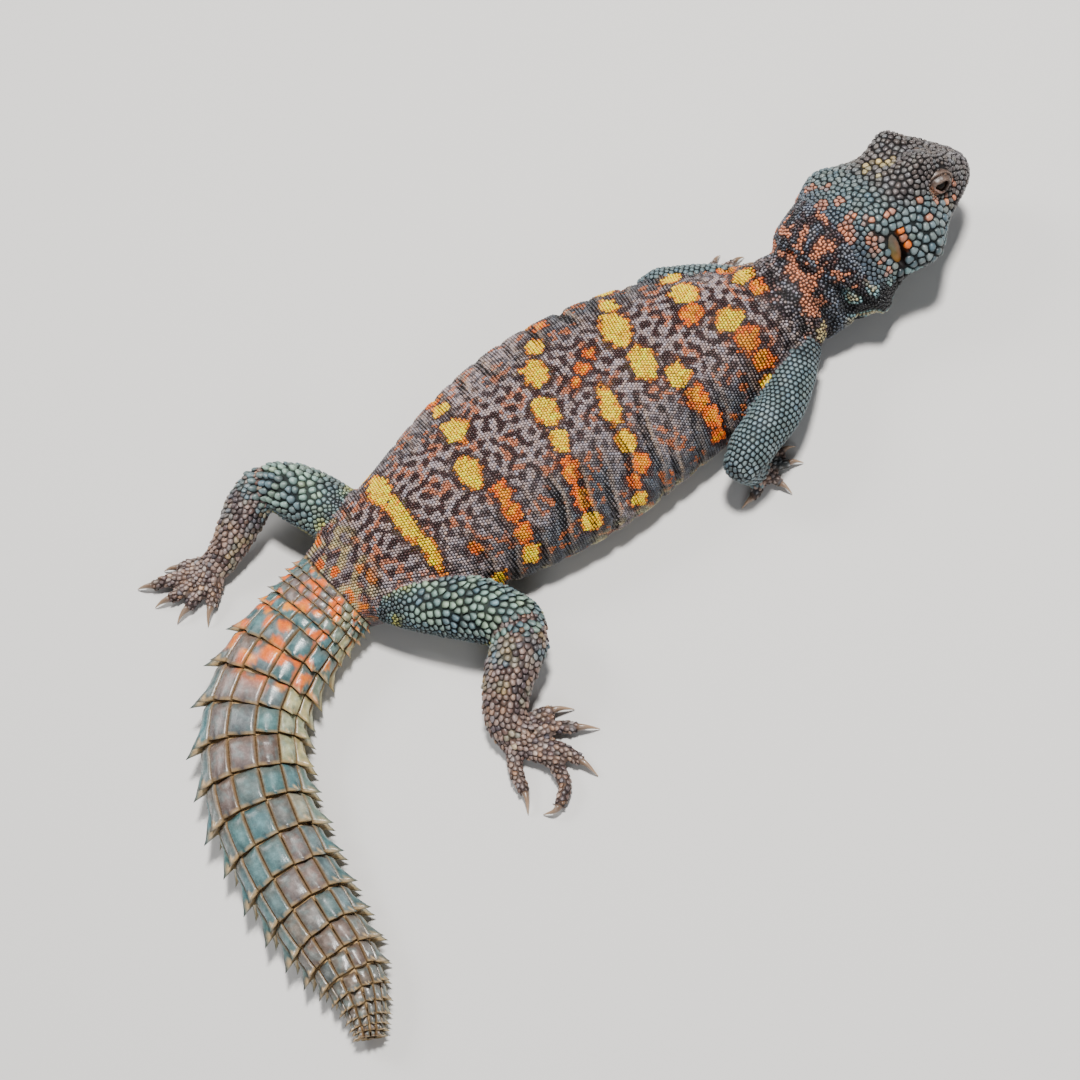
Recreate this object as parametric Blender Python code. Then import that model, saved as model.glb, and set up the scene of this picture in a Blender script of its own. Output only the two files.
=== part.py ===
"""A life-size still model of an adult ornate uromastyx, lying with its tail swung round to its right.

The animal faces -Y, its right side is -X and the floor is z = 0. Sizes below are in millimetres and
the meshes are made in metres. The trunk, the neck, the head and the tail are lofts of rounded rings
along one spine. The legs are lofts too, cut from each other and from the trunk by planes that leave
a hair's gap, and the toes and claws are fused to the hands and feet.
"""

import math
import random

import bmesh
import bpy
import numpy as np
from mathutils import Vector

MM = 0.001
GAP = 0.3
CENTRING = (13.0, 15.7)

HEAD_ORIGIN = (24.5, -95.5, 16.6)
HEAD_YAW = math.radians(4.7)
HEAD_RISE = math.radians(1.0)
HEAD_ROLL = math.radians(20.0)
HEAD_COLUMNS = 36
HEAD_STEP = 1.25
JAW_ROUNDNESS = (0.76, 0.84)

# forward of the ears, half width, crown, level of the greatest width, underside
HEAD_RINGS = (
    (-8.0, 13.8, 9.8, -4.6, -13.8),
    (-4.0, 14.4, 9.9, -4.2, -13.2),
    (1.0, 14.8, 10.0, -4.0, -12.4),
    (6.0, 14.4, 9.8, -3.8, -11.2),
    (11.0, 12.8, 9.5, -3.4, -9.9),
    (15.6, 10.6, 8.6, -2.9, -8.9),
    (19.4, 8.6, 6.6, -2.4, -7.9),
    (22.8, 6.6, 4.1, -2.1, -6.8),
    (25.4, 4.7, 1.9, -2.1, -5.7),
    (26.8, 2.8, 0.1, -2.1, -4.5),
    (27.4, 1.0, -1.3, -2.1, -3.2),
)

# x, y, level of the greatest width, half width, height above it, depth below it, squareness
TRUNK_RINGS = (
    (20.6, -82.8, 9.4, 12.9, 14.6, 9.0, 0.70),
    (19.2, -77.0, 9.2, 12.2, 12.6, 8.0, 0.45),
    (18.6, -70.5, 9.2, 13.6, 12.2, 8.4, 0.35),
    (18.2, -61.5, 9.0, 16.6, 13.0, 9.2, 0.45),
    (19.6, -47.0, 8.4, 22.2, 14.4, 9.0, 0.60),
    (20.6, -32.0, 8.0, 25.6, 15.0, 8.6, 0.65),
    (20.0, -15.0, 7.8, 27.0, 15.2, 8.4, 0.65),
    (18.6, -1.0, 7.8, 25.4, 14.8, 8.4, 0.65),
    (17.2, 12.0, 7.8, 22.2, 13.8, 8.4, 0.60),
    (16.2, 24.0, 7.8, 18.0, 12.4, 8.3, 0.55),
    (15.6, 34.0, 7.6, 15.0, 10.8, 8.0, 0.45),
    (14.6, 43.5, 6.8, 11.6, 8.4, 7.1, 0.35),
)
NECK_ROLLS = (0.85, 0.40, 0.12, 0.03)
TRUNK_COLUMNS = 28
TRUNK_STEP = 5.2
NECK_COLUMNS = 28
NECK_STEP = 2.4
TOP_SQUARENESS = 0.45

# x, y, level of the greatest width, half width, height above it, depth below it
TAIL_RINGS = (
    (12.6, 49.7, 6.4, 11.6, 7.8, 6.7),
    (7.4, 61.7, 6.2, 11.8, 7.6, 6.5),
    (-1.7, 72.1, 6.1, 11.4, 7.4, 6.4),
    (-15.5, 77.9, 6.0, 10.8, 7.1, 6.3),
    (-31.3, 79.6, 5.8, 9.9, 6.8, 6.1),
    (-48.4, 78.6, 5.3, 8.6, 6.2, 5.6),
    (-60.5, 77.2, 4.7, 7.0, 5.4, 5.0),
    (-67.3, 77.4, 4.1, 5.4, 4.4, 4.4),
    (-72.5, 78.6, 3.4, 3.6, 3.3, 3.6),
    (-76.0, 79.8, 3.0, 2.4, 2.4, 3.1),
)
WHORLS = (6.0, 6.2, 6.5, 6.8, 7.1, 7.4, 7.7, 7.9, 8.0, 8.0, 7.6, 6.8, 5.6, 4.4, 3.4, 2.8, 2.3, 1.9)
WHORLS_PER_TAIL_NODE = (5, 4, 4, 5)
SCUTES_ROUND = 13
SCUTE_STEP = 1.05
SCUTE_GROOVE = 0.35
SPINE_LENGTH_TOP = 1.1
SPINE_LENGTH_SIDE = 2.9
SPINE_FLARE = 1.7

EYE_PLACE = (16.4, 7.2, 3.3)
EYE_RADIUS = 2.8
LID_SIZE = (4.1, 2.5, 3.2)
LID_PLACE = (16.4, 8.0, 3.3)
EYE_SLIT = (2.1, 4.0, 1.35)
EYE_SLIT_TILT = math.radians(34.0)

EAR_PLACE = (0.2, -0.9)
EAR_SIZE = (1.55, 3.6)
EAR_DEPTH = 2.0
EARDRUM_THICK = 0.6

NOSTRIL_PLACE = (25.2, 4.0, 1.2)
NOSTRIL_RADIUS = 0.55

MOUTH_CORNER = (12.4, -5.8)
MOUTH_TIP = (30.0, -3.2)

# x, y, z, half width across, half height
HIND_RIGHT = {
    "upper": ((9.0, 36.0, 9.0, 6.6, 5.8), (0.4, 28.4, 9.8, 7.0, 6.3), (-6.9, 20.7, 10.4, 7.1, 6.5),
              (-13.6, 14.8, 10.6, 6.5, 6.1), (-18.2, 12.0, 10.6, 5.4, 5.3), (-21.0, 10.6, 10.6, 3.2, 3.2)),
    "lower": ((-16.4, 10.2, 11.0, 3.4, 3.4), (-19.0, 13.2, 10.8, 5.6, 5.4), (-23.0, 18.4, 9.2, 5.8, 5.3),
              (-27.8, 23.2, 6.8, 5.1, 4.5), (-32.2, 25.7, 4.6, 4.3, 3.6), (-36.3, 24.6, 3.2, 4.2, 2.8)),
}
HIND_LEFT = {
    "upper": ((22.0, 31.5, 9.0, 6.8, 6.0), (29.0, 35.3, 9.8, 7.1, 6.4), (36.5, 39.4, 10.6, 7.0, 6.4),
              (42.2, 43.4, 11.0, 6.0, 5.8), (45.6, 47.2, 10.8, 4.4, 4.6), (47.0, 49.4, 10.6, 2.6, 2.8)),
    "lower": ((46.6, 43.6, 11.2, 2.8, 3.0), (45.2, 48.0, 10.8, 4.8, 4.8), (43.0, 53.0, 9.2, 5.2, 4.8),
              (40.4, 58.4, 6.6, 4.6, 4.2), (38.2, 63.4, 4.4, 3.9, 3.4), (38.0, 67.2, 3.0, 3.9, 2.7)),
}
FORE_RIGHT = {
    "upper": ((8.0, -70.0, 10.5, 5.0, 4.8), (2.0, -64.4, 11.2, 5.3, 5.0), (-3.2, -58.8, 11.8, 5.3, 5.2),
              (-7.0, -51.4, 12.4, 5.2, 5.2), (-9.6, -45.9, 12.2, 4.6, 4.6), (-10.6, -42.9, 12.0, 2.4, 2.6)),
    "lower": ((-9.4, -44.6, 15.0, 2.4, 2.4), (-9.8, -45.2, 12.0, 4.5, 4.5), (-9.9, -46.0, 8.8, 4.2, 4.2),
              (-9.8, -46.8, 5.4, 3.6, 3.4), (-9.8, -48.2, 2.4, 3.2, 2.6)),
}
FORE_LEFT = {
    "upper": ((24.0, -70.0, 10.2, 5.0, 4.8), (28.6, -65.4, 11.0, 5.2, 5.0), (32.8, -60.4, 11.4, 5.1, 5.0),
              (36.6, -54.6, 11.4, 4.8, 4.8), (39.2, -50.4, 11.2, 4.2, 4.2), (40.4, -48.0, 11.0, 2.2, 2.4)),
    "lower": ((40.2, -47.8, 12.6, 2.4, 2.4), (39.4, -50.4, 10.8, 4.2, 4.2), (38.8, -54.8, 8.2, 4.1, 3.9),
              (38.2, -59.6, 5.2, 3.5, 3.3), (37.8, -62.8, 2.8, 3.3, 2.6)),
}
LIMB_COLUMNS = 14
LIMB_STEP = 2.6

# where a limb leaves the trunk: a point on the cut and the way out of the body
SIDE_CUTS = {
    "thigh_right": ((-1.2, 27.0, 9.9), (-0.74, -0.67, 0.0)),
    "thigh_left": ((31.0, 36.4, 10.0), (0.88, 0.48, 0.0)),
    "upper_arm_right": ((1.0, -63.4, 11.3), (-0.70, 0.71, 0.0)),
    "upper_arm_left": ((29.8, -64.4, 11.0), (0.62, 0.78, 0.0)),
}
ANKLES = {
    "right": ((-32.0, 25.6, 4.7), (-0.80, 0.05, -0.60)),
    "left": ((38.3, 63.2, 4.5), (-0.20, 0.80, -0.57)),
}
WRISTS = {
    "right": ((-9.8, -46.9, 5.2), (0.0, -0.42, -0.90)),
    "left": ((38.3, -59.4, 5.3), (-0.05, -0.74, -0.67)),
}

# a toe: points from its root to its end, then how far and which way its claw reaches
FOOT_RIGHT_TOES = (
    (((-33.5, 22.6, 2.8), (-32.8, 18.6, 2.2), (-33.4, 15.6, 1.8)), -115.0),
    (((-35.6, 22.8, 2.8), (-36.8, 17.6, 2.2), (-39.6, 12.8, 1.7)), -120.0),
    (((-37.0, 23.8, 2.8), (-42.0, 18.4, 2.4), (-46.6, 15.8, 1.6)), -165.0),
    (((-37.6, 25.4, 2.8), (-44.2, 21.0, 2.5), (-49.6, 21.6, 2.0), (-52.6, 24.8, 1.5)), 68.0),
    (((-36.4, 26.8, 2.8), (-41.6, 28.9, 2.2), (-46.4, 29.3, 1.5)), 150.0),
)
FOOT_LEFT_TOES = (
    (((35.6, 66.4, 2.8), (32.6, 68.6, 2.2), (30.0, 70.8, 1.7)), 140.0),
    (((36.4, 67.6, 2.8), (34.4, 71.8, 2.3), (33.0, 75.6, 1.6)), 110.0),
    (((37.6, 68.4, 2.8), (37.2, 73.6, 2.4), (37.6, 78.4, 1.6)), 80.0),
    (((38.8, 68.2, 2.8), (40.4, 73.2, 2.4), (42.0, 77.6, 2.0), (43.0, 80.6, 1.5)), 60.0),
    (((39.6, 66.8, 2.8), (42.0, 70.2, 2.2), (43.6, 73.4, 1.6)), 60.0),
)
HAND_RIGHT_TOES = (
    (((-8.0, -48.6, 2.2), (-6.0, -50.6, 1.8), (-4.6, -52.8, 1.4)), -60.0),
    (((-8.8, -49.6, 2.2), (-7.8, -52.8, 1.9), (-7.4, -55.8, 1.4)), -95.0),
    (((-9.8, -49.8, 2.2), (-10.2, -52.8, 1.9), (-10.8, -55.4, 1.4)), -115.0),
    (((-10.8, -48.8, 2.2), (-12.6, -50.4, 1.9), (-14.4, -51.2, 1.4)), -165.0),
    (((-11.2, -47.4, 2.2), (-12.8, -45.8, 1.8), (-13.6, -43.8, 1.4)), 95.0),
)
HAND_LEFT_TOES = (
    (((36.2, -64.6, 2.2), (34.4, -67.2, 1.8), (33.6, -69.8, 1.4)), -110.0),
    (((37.0, -65.8, 2.2), (36.0, -69.2, 1.9), (35.4, -72.4, 1.4)), -105.0),
    (((38.0, -66.0, 2.2), (38.0, -69.6, 1.9), (37.8, -73.0, 1.4)), -90.0),
    (((39.0, -65.2, 2.2), (40.0, -68.4, 1.9), (40.6, -71.2, 1.4)), -80.0),
    (((39.6, -63.8, 2.2), (41.8, -65.6, 1.8), (43.2, -67.4, 1.4)), -55.0),
)
TOE_COLUMNS = 7
FOOT_TOE_RADIUS = (1.75, 1.15)
HAND_TOE_RADIUS = (1.5, 1.0)
FOOT_CLAW = 3.8
HAND_CLAW = 2.1


class Curve:
    """Rows of values that change smoothly along a body part."""

    def __init__(self, keys, rows):
        self.keys = np.array(keys, float)
        self.rows = np.array(rows, float)
        self.slopes = np.gradient(self.rows, self.keys, axis=0)

    @classmethod
    def through(cls, rows):
        """A curve through points whose first three values are a place, keyed by the way travelled."""
        rows = np.array(rows, float)
        steps = np.linalg.norm(np.diff(rows[:, :3], axis=0), axis=1)
        return cls(np.concatenate(([0.0], np.cumsum(steps))), rows)

    def at(self, key):
        """The row at one key, held at the ends."""
        key = min(max(key, self.keys[0]), self.keys[-1])
        i = min(int(np.searchsorted(self.keys, key, side="right")) - 1, len(self.keys) - 2)
        span = self.keys[i + 1] - self.keys[i]
        t = (key - self.keys[i]) / span
        return (
            (2 * t**3 - 3 * t**2 + 1) * self.rows[i]
            + (t**3 - 2 * t**2 + t) * span * self.slopes[i]
            + (3 * t**2 - 2 * t**3) * self.rows[i + 1]
            + (t**3 - t**2) * span * self.slopes[i + 1]
        )

    def heading(self, key, reach=0.2):
        """The unit direction of travel at one key."""
        way = self.at(key + reach)[:3] - self.at(key - reach)[:3]
        return way / np.linalg.norm(way)


def unit(vector):
    return np.array(vector, float) / np.linalg.norm(vector)


def smoothstep(low, high, value):
    t = min(max((value - low) / (high - low), 0.0), 1.0)
    return t * t * (3 - 2 * t)


def power(value, exponent):
    return math.copysign(abs(value) ** exponent, value)


def ring_points(centre, side, up, half_width, above, below, square, columns, turn=0.0):
    """Points of one rounded ring, from the side through the top and round underneath."""
    points = []
    for column in range(columns):
        angle = 2 * math.pi * (column + turn) / columns
        blunt = square * TOP_SQUARENESS if math.sin(angle) > 0 else square
        across = power(math.cos(angle), 1 - 0.25 * blunt)
        height = power(math.sin(angle), 1 - 0.30 * blunt)
        points.append(centre + side * half_width * across + up * (above if height > 0 else below) * height)
    return np.array(points)


def frame_across(heading, roll=0.0):
    """The animal's right and its up, square to a heading that runs from head to tail."""
    left = unit(np.cross(heading, (0.0, 0.0, 1.0)))
    up = np.cross(left, heading)
    right = -left
    return right * math.cos(roll) + up * math.sin(roll), up * math.cos(roll) - right * math.sin(roll)


def settle(points):
    """Rings pressed flat where they would sink into the floor."""
    points = np.array(points)
    points[..., 2] = np.maximum(points[..., 2], 0.0)
    return points


def in_row(point):
    """A place in millimetres as a place in metres about the middle of the floor."""
    return Vector(((point[0] + CENTRING[0]) * MM, (point[1] + CENTRING[1]) * MM, point[2] * MM))


def make_object(name, vertices, faces):
    mesh = bpy.data.meshes.new(name)
    mesh.from_pydata([in_row(v) for v in vertices], [], faces)
    tidy(mesh)
    obj = bpy.data.objects.new(name, mesh)
    bpy.context.scene.collection.objects.link(obj)
    return obj


def tidy(mesh):
    """Outward faces, with no doubled points."""
    form = bmesh.new()
    form.from_mesh(mesh)
    bmesh.ops.remove_doubles(form, verts=form.verts, dist=1e-7)
    bmesh.ops.recalc_face_normals(form, faces=form.faces)
    form.to_mesh(mesh)
    form.free()


def loft(name, rings):
    """A closed solid through rings of equal count, with a fan at each end."""
    rings = [np.array(r) for r in rings]
    columns = len(rings[0])
    vertices = [tuple(p) for ring in rings for p in ring]
    faces = []
    for row in range(len(rings) - 1):
        for column in range(columns):
            following = (column + 1) % columns
            low = row * columns
            high = low + columns
            faces.append((low + column, low + following, high + following, high + column))
    for row, ring in ((0, rings[0]), (len(rings) - 1, rings[-1])):
        middle = len(vertices)
        vertices.append(tuple(ring.mean(axis=0)))
        for column in range(columns):
            faces.append((row * columns + column, row * columns + (column + 1) % columns, middle))
    return make_object(name, vertices, faces)


def ellipsoid(name, centre, axes, sizes, across=14, rows=9):
    """A rounded solid whose three half sizes lie along three axes."""
    vertices = []
    faces = []
    for row in range(1, rows):
        polar = math.pi * row / rows
        for column in range(across):
            angle = 2 * math.pi * column / across
            vertices.append(centre + axes[0] * sizes[0] * math.sin(polar) * math.cos(angle)
                            + axes[1] * sizes[1] * math.cos(polar)
                            + axes[2] * sizes[2] * math.sin(polar) * math.sin(angle))
    first = len(vertices)
    vertices.append(centre + axes[1] * sizes[1])
    vertices.append(centre - axes[1] * sizes[1])
    for column in range(across):
        following = (column + 1) % across
        faces.append((first, column, following))
        faces.append((first + 1, (rows - 2) * across + following, (rows - 2) * across + column))
        for row in range(rows - 2):
            low = row * across
            faces.append((low + column, low + across + column, low + across + following, low + following))
    return make_object(name, vertices, faces)


def block(name, centre, axes, sizes):
    """A box whose three half sizes lie along three axes."""
    corners = [(x, y, z) for x in (-1, 1) for y in (-1, 1) for z in (-1, 1)]
    vertices = [centre + axes[0] * sizes[0] * x + axes[1] * sizes[1] * y + axes[2] * sizes[2] * z
                for x, y, z in corners]
    faces = [(0, 1, 3, 2), (4, 6, 7, 5), (0, 4, 5, 1), (2, 3, 7, 6), (0, 2, 6, 4), (1, 5, 7, 3)]
    return make_object(name, vertices, faces)


def half_space(name, point, outward, reach=70.0):
    """A large block on the far side of a plane."""
    outward = unit(outward)
    helper = (0.0, 0.0, 1.0) if abs(outward[2]) < 0.8 else (1.0, 0.0, 0.0)
    first = unit(np.cross(outward, helper))
    second = np.cross(outward, first)
    centre = np.array(point, float) + outward * reach
    return block(name, centre, (outward, first, second), (reach, reach, reach))


def apply_modifiers(obj):
    bpy.context.view_layer.update()
    depsgraph = bpy.context.evaluated_depsgraph_get()
    mesh = bpy.data.meshes.new_from_object(obj.evaluated_get(depsgraph))
    obj.modifiers.clear()
    spent = obj.data
    obj.data = mesh
    bpy.data.meshes.remove(spent)


def discard(obj):
    mesh = obj.data
    bpy.data.objects.remove(obj, do_unlink=True)
    if mesh.users == 0:
        bpy.data.meshes.remove(mesh)


def cut(obj, cutter, operation="DIFFERENCE", keep_cutter=False):
    """One Boolean of an object with another, applied."""
    change = obj.modifiers.new("cut", "BOOLEAN")
    change.operation = operation
    change.object = cutter
    apply_modifiers(obj)
    if not keep_cutter:
        discard(cutter)
    keep_largest(obj)
    return obj


def fuse(obj, pieces):
    """One Boolean union of an object with all its pieces, applied."""
    group = bpy.data.collections.new("pieces")
    bpy.context.scene.collection.children.link(group)
    for piece in pieces:
        group.objects.link(piece)
    change = obj.modifiers.new("fuse", "BOOLEAN")
    change.operation = "UNION"
    change.operand_type = "COLLECTION"
    change.collection = group
    apply_modifiers(obj)
    for piece in pieces:
        discard(piece)
    bpy.data.collections.remove(group)
    keep_largest(obj)
    return obj


def keep_largest(obj):
    """Only the largest closed surface of an object stays."""
    form = bmesh.new()
    form.from_mesh(obj.data)
    bmesh.ops.remove_doubles(form, verts=form.verts, dist=1e-6)
    bmesh.ops.dissolve_degenerate(form, edges=form.edges, dist=1e-6)
    groups = []
    seen = set()
    for start in form.faces:
        if start in seen:
            continue
        group = {start}
        stack = [start]
        while stack:
            for edge in stack.pop().edges:
                for face in edge.link_faces:
                    if face not in group:
                        group.add(face)
                        stack.append(face)
        seen |= group
        groups.append(group)
    groups.sort(key=lambda g: sum(f.calc_area() for f in g), reverse=True)
    loose = [f for g in groups[1:] for f in g]
    if loose:
        bmesh.ops.delete(form, geom=loose, context="FACES")
    stray = [v for v in form.verts if not v.link_faces]
    bmesh.ops.delete(form, geom=stray, context="VERTS")
    form.to_mesh(obj.data)
    form.free()


def copy_of(obj, name):
    twin = bpy.data.objects.new(name, obj.data.copy())
    bpy.context.scene.collection.objects.link(twin)
    return twin


def finish(obj, color, roughness, metallic=0.0):
    """Gives a piece its material and smooth shading."""
    material = bpy.data.materials.new(obj.name)
    material.use_nodes = True
    shader = material.node_tree.nodes["Principled BSDF"]
    shader.inputs["Base Color"].default_value = (*color, 1.0)
    shader.inputs["Roughness"].default_value = roughness
    shader.inputs["Metallic"].default_value = metallic
    obj.data.materials.clear()
    obj.data.materials.append(material)
    obj.data.shade_smooth()
    obj.data.set_sharp_from_angle(angle=math.radians(40.0))
    return obj


def head_axes():
    """Forward, right and up of the head."""
    forward = np.array((math.sin(HEAD_YAW), -math.cos(HEAD_YAW), 0.0)) * math.cos(HEAD_RISE)
    forward[2] = math.sin(HEAD_RISE)
    right, up = frame_across(-forward, HEAD_ROLL)
    return forward, right, up


def head_place(forward, right, up):
    """A place given in the head's own directions."""
    axes = head_axes()
    return np.array(HEAD_ORIGIN) + axes[0] * forward + axes[1] * right + axes[2] * up


def bump(forward, right, up, place, spread):
    """How near a place on the head is to the middle of a swelling, on either side, from 0 to 1."""
    gap = ((forward - place[0]) / spread[0]) ** 2
    gap += ((abs(right) - place[1]) / spread[1]) ** 2
    gap += ((up - place[2]) / spread[2]) ** 2
    return math.exp(-gap)


def head_relief(forward, right, up):
    """How far the head swells at a place, in millimetres."""
    relief = 4.1 * bump(forward, right, up, (15.6, 6.2, 8.0), (4.8, 3.6, 3.2))
    relief += 1.5 * bump(forward, right, up, (21.4, 5.4, 4.4), (3.6, 2.6, 2.4))
    relief -= 1.1 * bump(forward, right, up, (17.4, 10.2, 1.6), (4.6, 3.0, 2.4))
    relief += 3.4 * bump(forward, right, up, (8.0, 13.0, -5.6), (5.6, 6.0, 4.5))
    relief -= 0.7 * bump(forward, right, up, (9.0, 11.5, 4.6), (3.6, 4.0, 3.0))
    relief += 0.5 * bump(forward, right, up, (20.0, 7.5, -3.6), (7.0, 6.0, 1.6))
    relief -= 0.5 * bump(forward, right, up, (12.0, 0.0, 9.0), (9.0, 2.2, 3.0))
    relief += 1.4 * bump(forward, right, up, (-7.0, 11.0, -11.0), (6.0, 6.0, 5.0))
    relief += 4.0 * bump(forward, max(right, 0.0), up, (-9.8, 12.0, -10.0), (5.6, 6.0, 5.5))
    relief += 2.5 * bump(forward, right, up, (-2.0, 11.0, 6.5), (5.0, 5.0, 5.0))
    return relief


def head_ring(curve, forward, columns, relief=True):
    """One ring of the head, square to its length."""
    _, half_width, top, middle, bottom = curve.at(forward)
    axes = head_axes()
    points = []
    for column in range(columns):
        angle = 2 * math.pi * column / columns
        roundness = (0.88, 0.86) if math.sin(angle) > 0 else JAW_ROUNDNESS
        across = half_width * power(math.cos(angle), roundness[0])
        height = power(math.sin(angle), roundness[1])
        level = middle + (height * (top - middle) if height > 0 else height * (middle - bottom))
        if relief:
            swell = head_relief(forward, across, level)
            out = unit((math.cos(angle), math.sin(angle)))
            across += out[0] * swell
            level += out[1] * swell
        points.append(head_place(forward, across, level))
    return np.array(points), axes


def head_curve():
    rows = HEAD_RINGS
    return Curve([row[0] for row in rows], rows)


def build_head():
    """The skull and upper jaw with lids, ear cups and nostrils, and the lower jaw cut from it."""
    curve = head_curve()
    first = HEAD_RINGS[0][0]
    last = HEAD_RINGS[-1][0]
    rows = int(round((last - first) / HEAD_STEP))
    spread = [first + GAP / 2 + (last - first - GAP / 2) * (1 - (1 - i / rows) ** 1.25) for i in range(rows + 1)]
    head = loft("head", [head_ring(curve, f, HEAD_COLUMNS)[0] for f in spread])
    forward, right, up = head_axes()
    lids = []
    for side in (1, -1):
        centre = head_place(LID_PLACE[0], side * LID_PLACE[1], LID_PLACE[2])
        lids.append(ellipsoid("lid", centre, (forward, right * side, up), LID_SIZE, 16, 10))
    fuse(head, lids)
    for side in (1, -1):
        out = right * side
        centre = head_place(EYE_PLACE[0], side * EYE_PLACE[1], EYE_PLACE[2])
        cavity = EYE_RADIUS + GAP
        pocket = ellipsoid("pocket", centre, (forward, out, up), (cavity,) * 3, 14, 8)
        tilt_forward = forward * math.cos(EYE_SLIT_TILT) - up * math.sin(EYE_SLIT_TILT)
        tilt_up = up * math.cos(EYE_SLIT_TILT) + forward * math.sin(EYE_SLIT_TILT)
        slit = centre + out * EYE_RADIUS
        fuse(pocket, [ellipsoid("slit", slit, (tilt_forward, out, tilt_up), EYE_SLIT, 12, 6)])
        cut(head, pocket)
        nostril = head_place(NOSTRIL_PLACE[0], side * NOSTRIL_PLACE[1], NOSTRIL_PLACE[2])
        cut(head, ellipsoid("nostril", nostril, (forward, out, up), (NOSTRIL_RADIUS,) * 3, 8, 6))
        cut(head, ear_plug("cup", side, EAR_SIZE, -EAR_DEPTH, 4.0))
    jaw = copy_of(head, "jaw")
    cut(jaw, mouth_prism("below", -GAP / 2), "INTERSECT")
    cut(head, mouth_prism("below", GAP / 2))
    return head, jaw


def ear_surface():
    """How far out the skin lies at the ear."""
    return head_curve().at(EAR_PLACE[0])[1] + head_relief(EAR_PLACE[0], 13.3, EAR_PLACE[1])


def ear_plug(name, side, size, inner, outer):
    """An upright oval plug through the ear opening, between two depths from the skin."""
    forward, right, up = head_axes()
    skin = ear_surface()
    rings = []
    for depth in (inner, outer):
        centre = head_place(EAR_PLACE[0], side * (skin + depth), EAR_PLACE[1])
        rings.append([centre + forward * size[0] * math.cos(a) + up * size[1] * math.sin(a)
                      for a in (2 * math.pi * k / 18 for k in range(18))])
    return loft(name, rings)


def mouth_prism(name, grow):
    """The block below the line of the mouth, widened or narrowed by half the gap."""
    profile = (
        (MOUTH_CORNER[0] - grow, MOUTH_CORNER[1] + grow),
        (MOUTH_TIP[0] + 3.0, MOUTH_TIP[1] + grow),
        (MOUTH_TIP[0] + 3.0, -18.0),
        (MOUTH_CORNER[0] - 1.5 - grow, -18.0),
    )
    rings = [[head_place(f, right, u) for f, u in profile] for right in (-20.0, 20.0)]
    return loft(name, rings)


def build_eyes():
    forward, right, up = head_axes()
    for side, name in ((1, "eye_right"), (-1, "eye_left")):
        centre = head_place(EYE_PLACE[0], side * EYE_PLACE[1], EYE_PLACE[2])
        eye = ellipsoid(name, centre, (forward, right * side, up), (EYE_RADIUS,) * 3, 14, 8)
        finish(eye, (0.012, 0.010, 0.009), 0.08)


def build_eardrums():
    for side, name in ((1, "eardrum_right"), (-1, "eardrum_left")):
        size = (EAR_SIZE[0] - GAP, EAR_SIZE[1] - GAP)
        drum = ear_plug(name, side, size, -EAR_DEPTH + GAP, -EAR_DEPTH + GAP + EARDRUM_THICK)
        finish(drum, (0.30, 0.24, 0.13), 0.35)


def spine_curve():
    """The spine from inside the head to the root of the tail."""
    rows = []
    heads = head_curve()
    for forward in (4.0, -2.0, HEAD_RINGS[0][0]):
        _, half_width, top, middle, bottom = heads.at(forward)
        centre = head_place(forward, 0.0, middle)
        rows.append((*centre, half_width, top - middle, middle - bottom, 0.45, HEAD_ROLL))
    for i, (x, y, z, half_width, above, below, square) in enumerate(TRUNK_RINGS):
        roll = HEAD_ROLL * NECK_ROLLS[i] if i < len(NECK_ROLLS) else 0.0
        rows.append((x, y, z, half_width, above, below, square, roll))
    x, y, z, half_width, above, below = TAIL_RINGS[0]
    rows.append((x, y, z, half_width - SCUTE_STEP, above - SCUTE_STEP, below, 0.35, 0.0))
    return Curve.through(rows)


def trunk_ring(curve, key, columns):
    row = curve.at(key)
    right, up = frame_across(curve.heading(key), row[7])
    return settle(ring_points(row[:3], right, up, row[3], row[4], row[5], row[6], columns))


def neck_ring(curve, key, share):
    """One ring of the neck. Beside the head it swells as the back of the head does."""
    ring = trunk_ring(curve, key, NECK_COLUMNS)
    axes = np.stack(head_axes(), axis=1)
    places = (ring - np.array(HEAD_ORIGIN)) @ axes
    swell = np.array([head_relief(*place) for place in places]) * (1 - share**2)
    middle = ring.mean(axis=0)
    out = np.array([unit(point - middle) for point in ring])
    places = (ring + out * swell[:, None] - np.array(HEAD_ORIGIN)) @ axes
    places[:, 0] = np.minimum(places[:, 0], HEAD_RINGS[0][0] - GAP - share)
    return settle(places @ axes.T + np.array(HEAD_ORIGIN))


def build_neck(curve):
    start = curve.keys[2] + GAP / 2
    end = curve.keys[4] - GAP / 2
    rows = int(round((end - start) / NECK_STEP))
    rings = [neck_ring(curve, start + (end - start) * i / rows, i / rows) for i in range(rows + 1)]
    forward, _, _ = head_axes()
    rings[0], _ = head_ring(head_curve(), HEAD_RINGS[0][0], NECK_COLUMNS)
    rings[0] = rings[0] - forward * GAP / 2
    return finish(loft("neck", rings), (0.055, 0.060, 0.072), 0.7)


def build_trunk(curve, limbs, hollows):
    """The trunk, with the root of each limb fused to it and room for what lies against it."""
    start = curve.keys[4] + GAP / 2
    end = curve.keys[-2] - GAP / 2
    rows = int(round((end - start) / TRUNK_STEP))
    rings = [trunk_ring(curve, start + (end - start) * i / rows, TRUNK_COLUMNS) for i in range(rows + 1)]
    trunk = loft("torso", rings)
    fuse(trunk, limbs)
    for hollow in hollows:
        cut(trunk, hollow)
    return finish(trunk, (0.16, 0.13, 0.12), 0.75)


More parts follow.
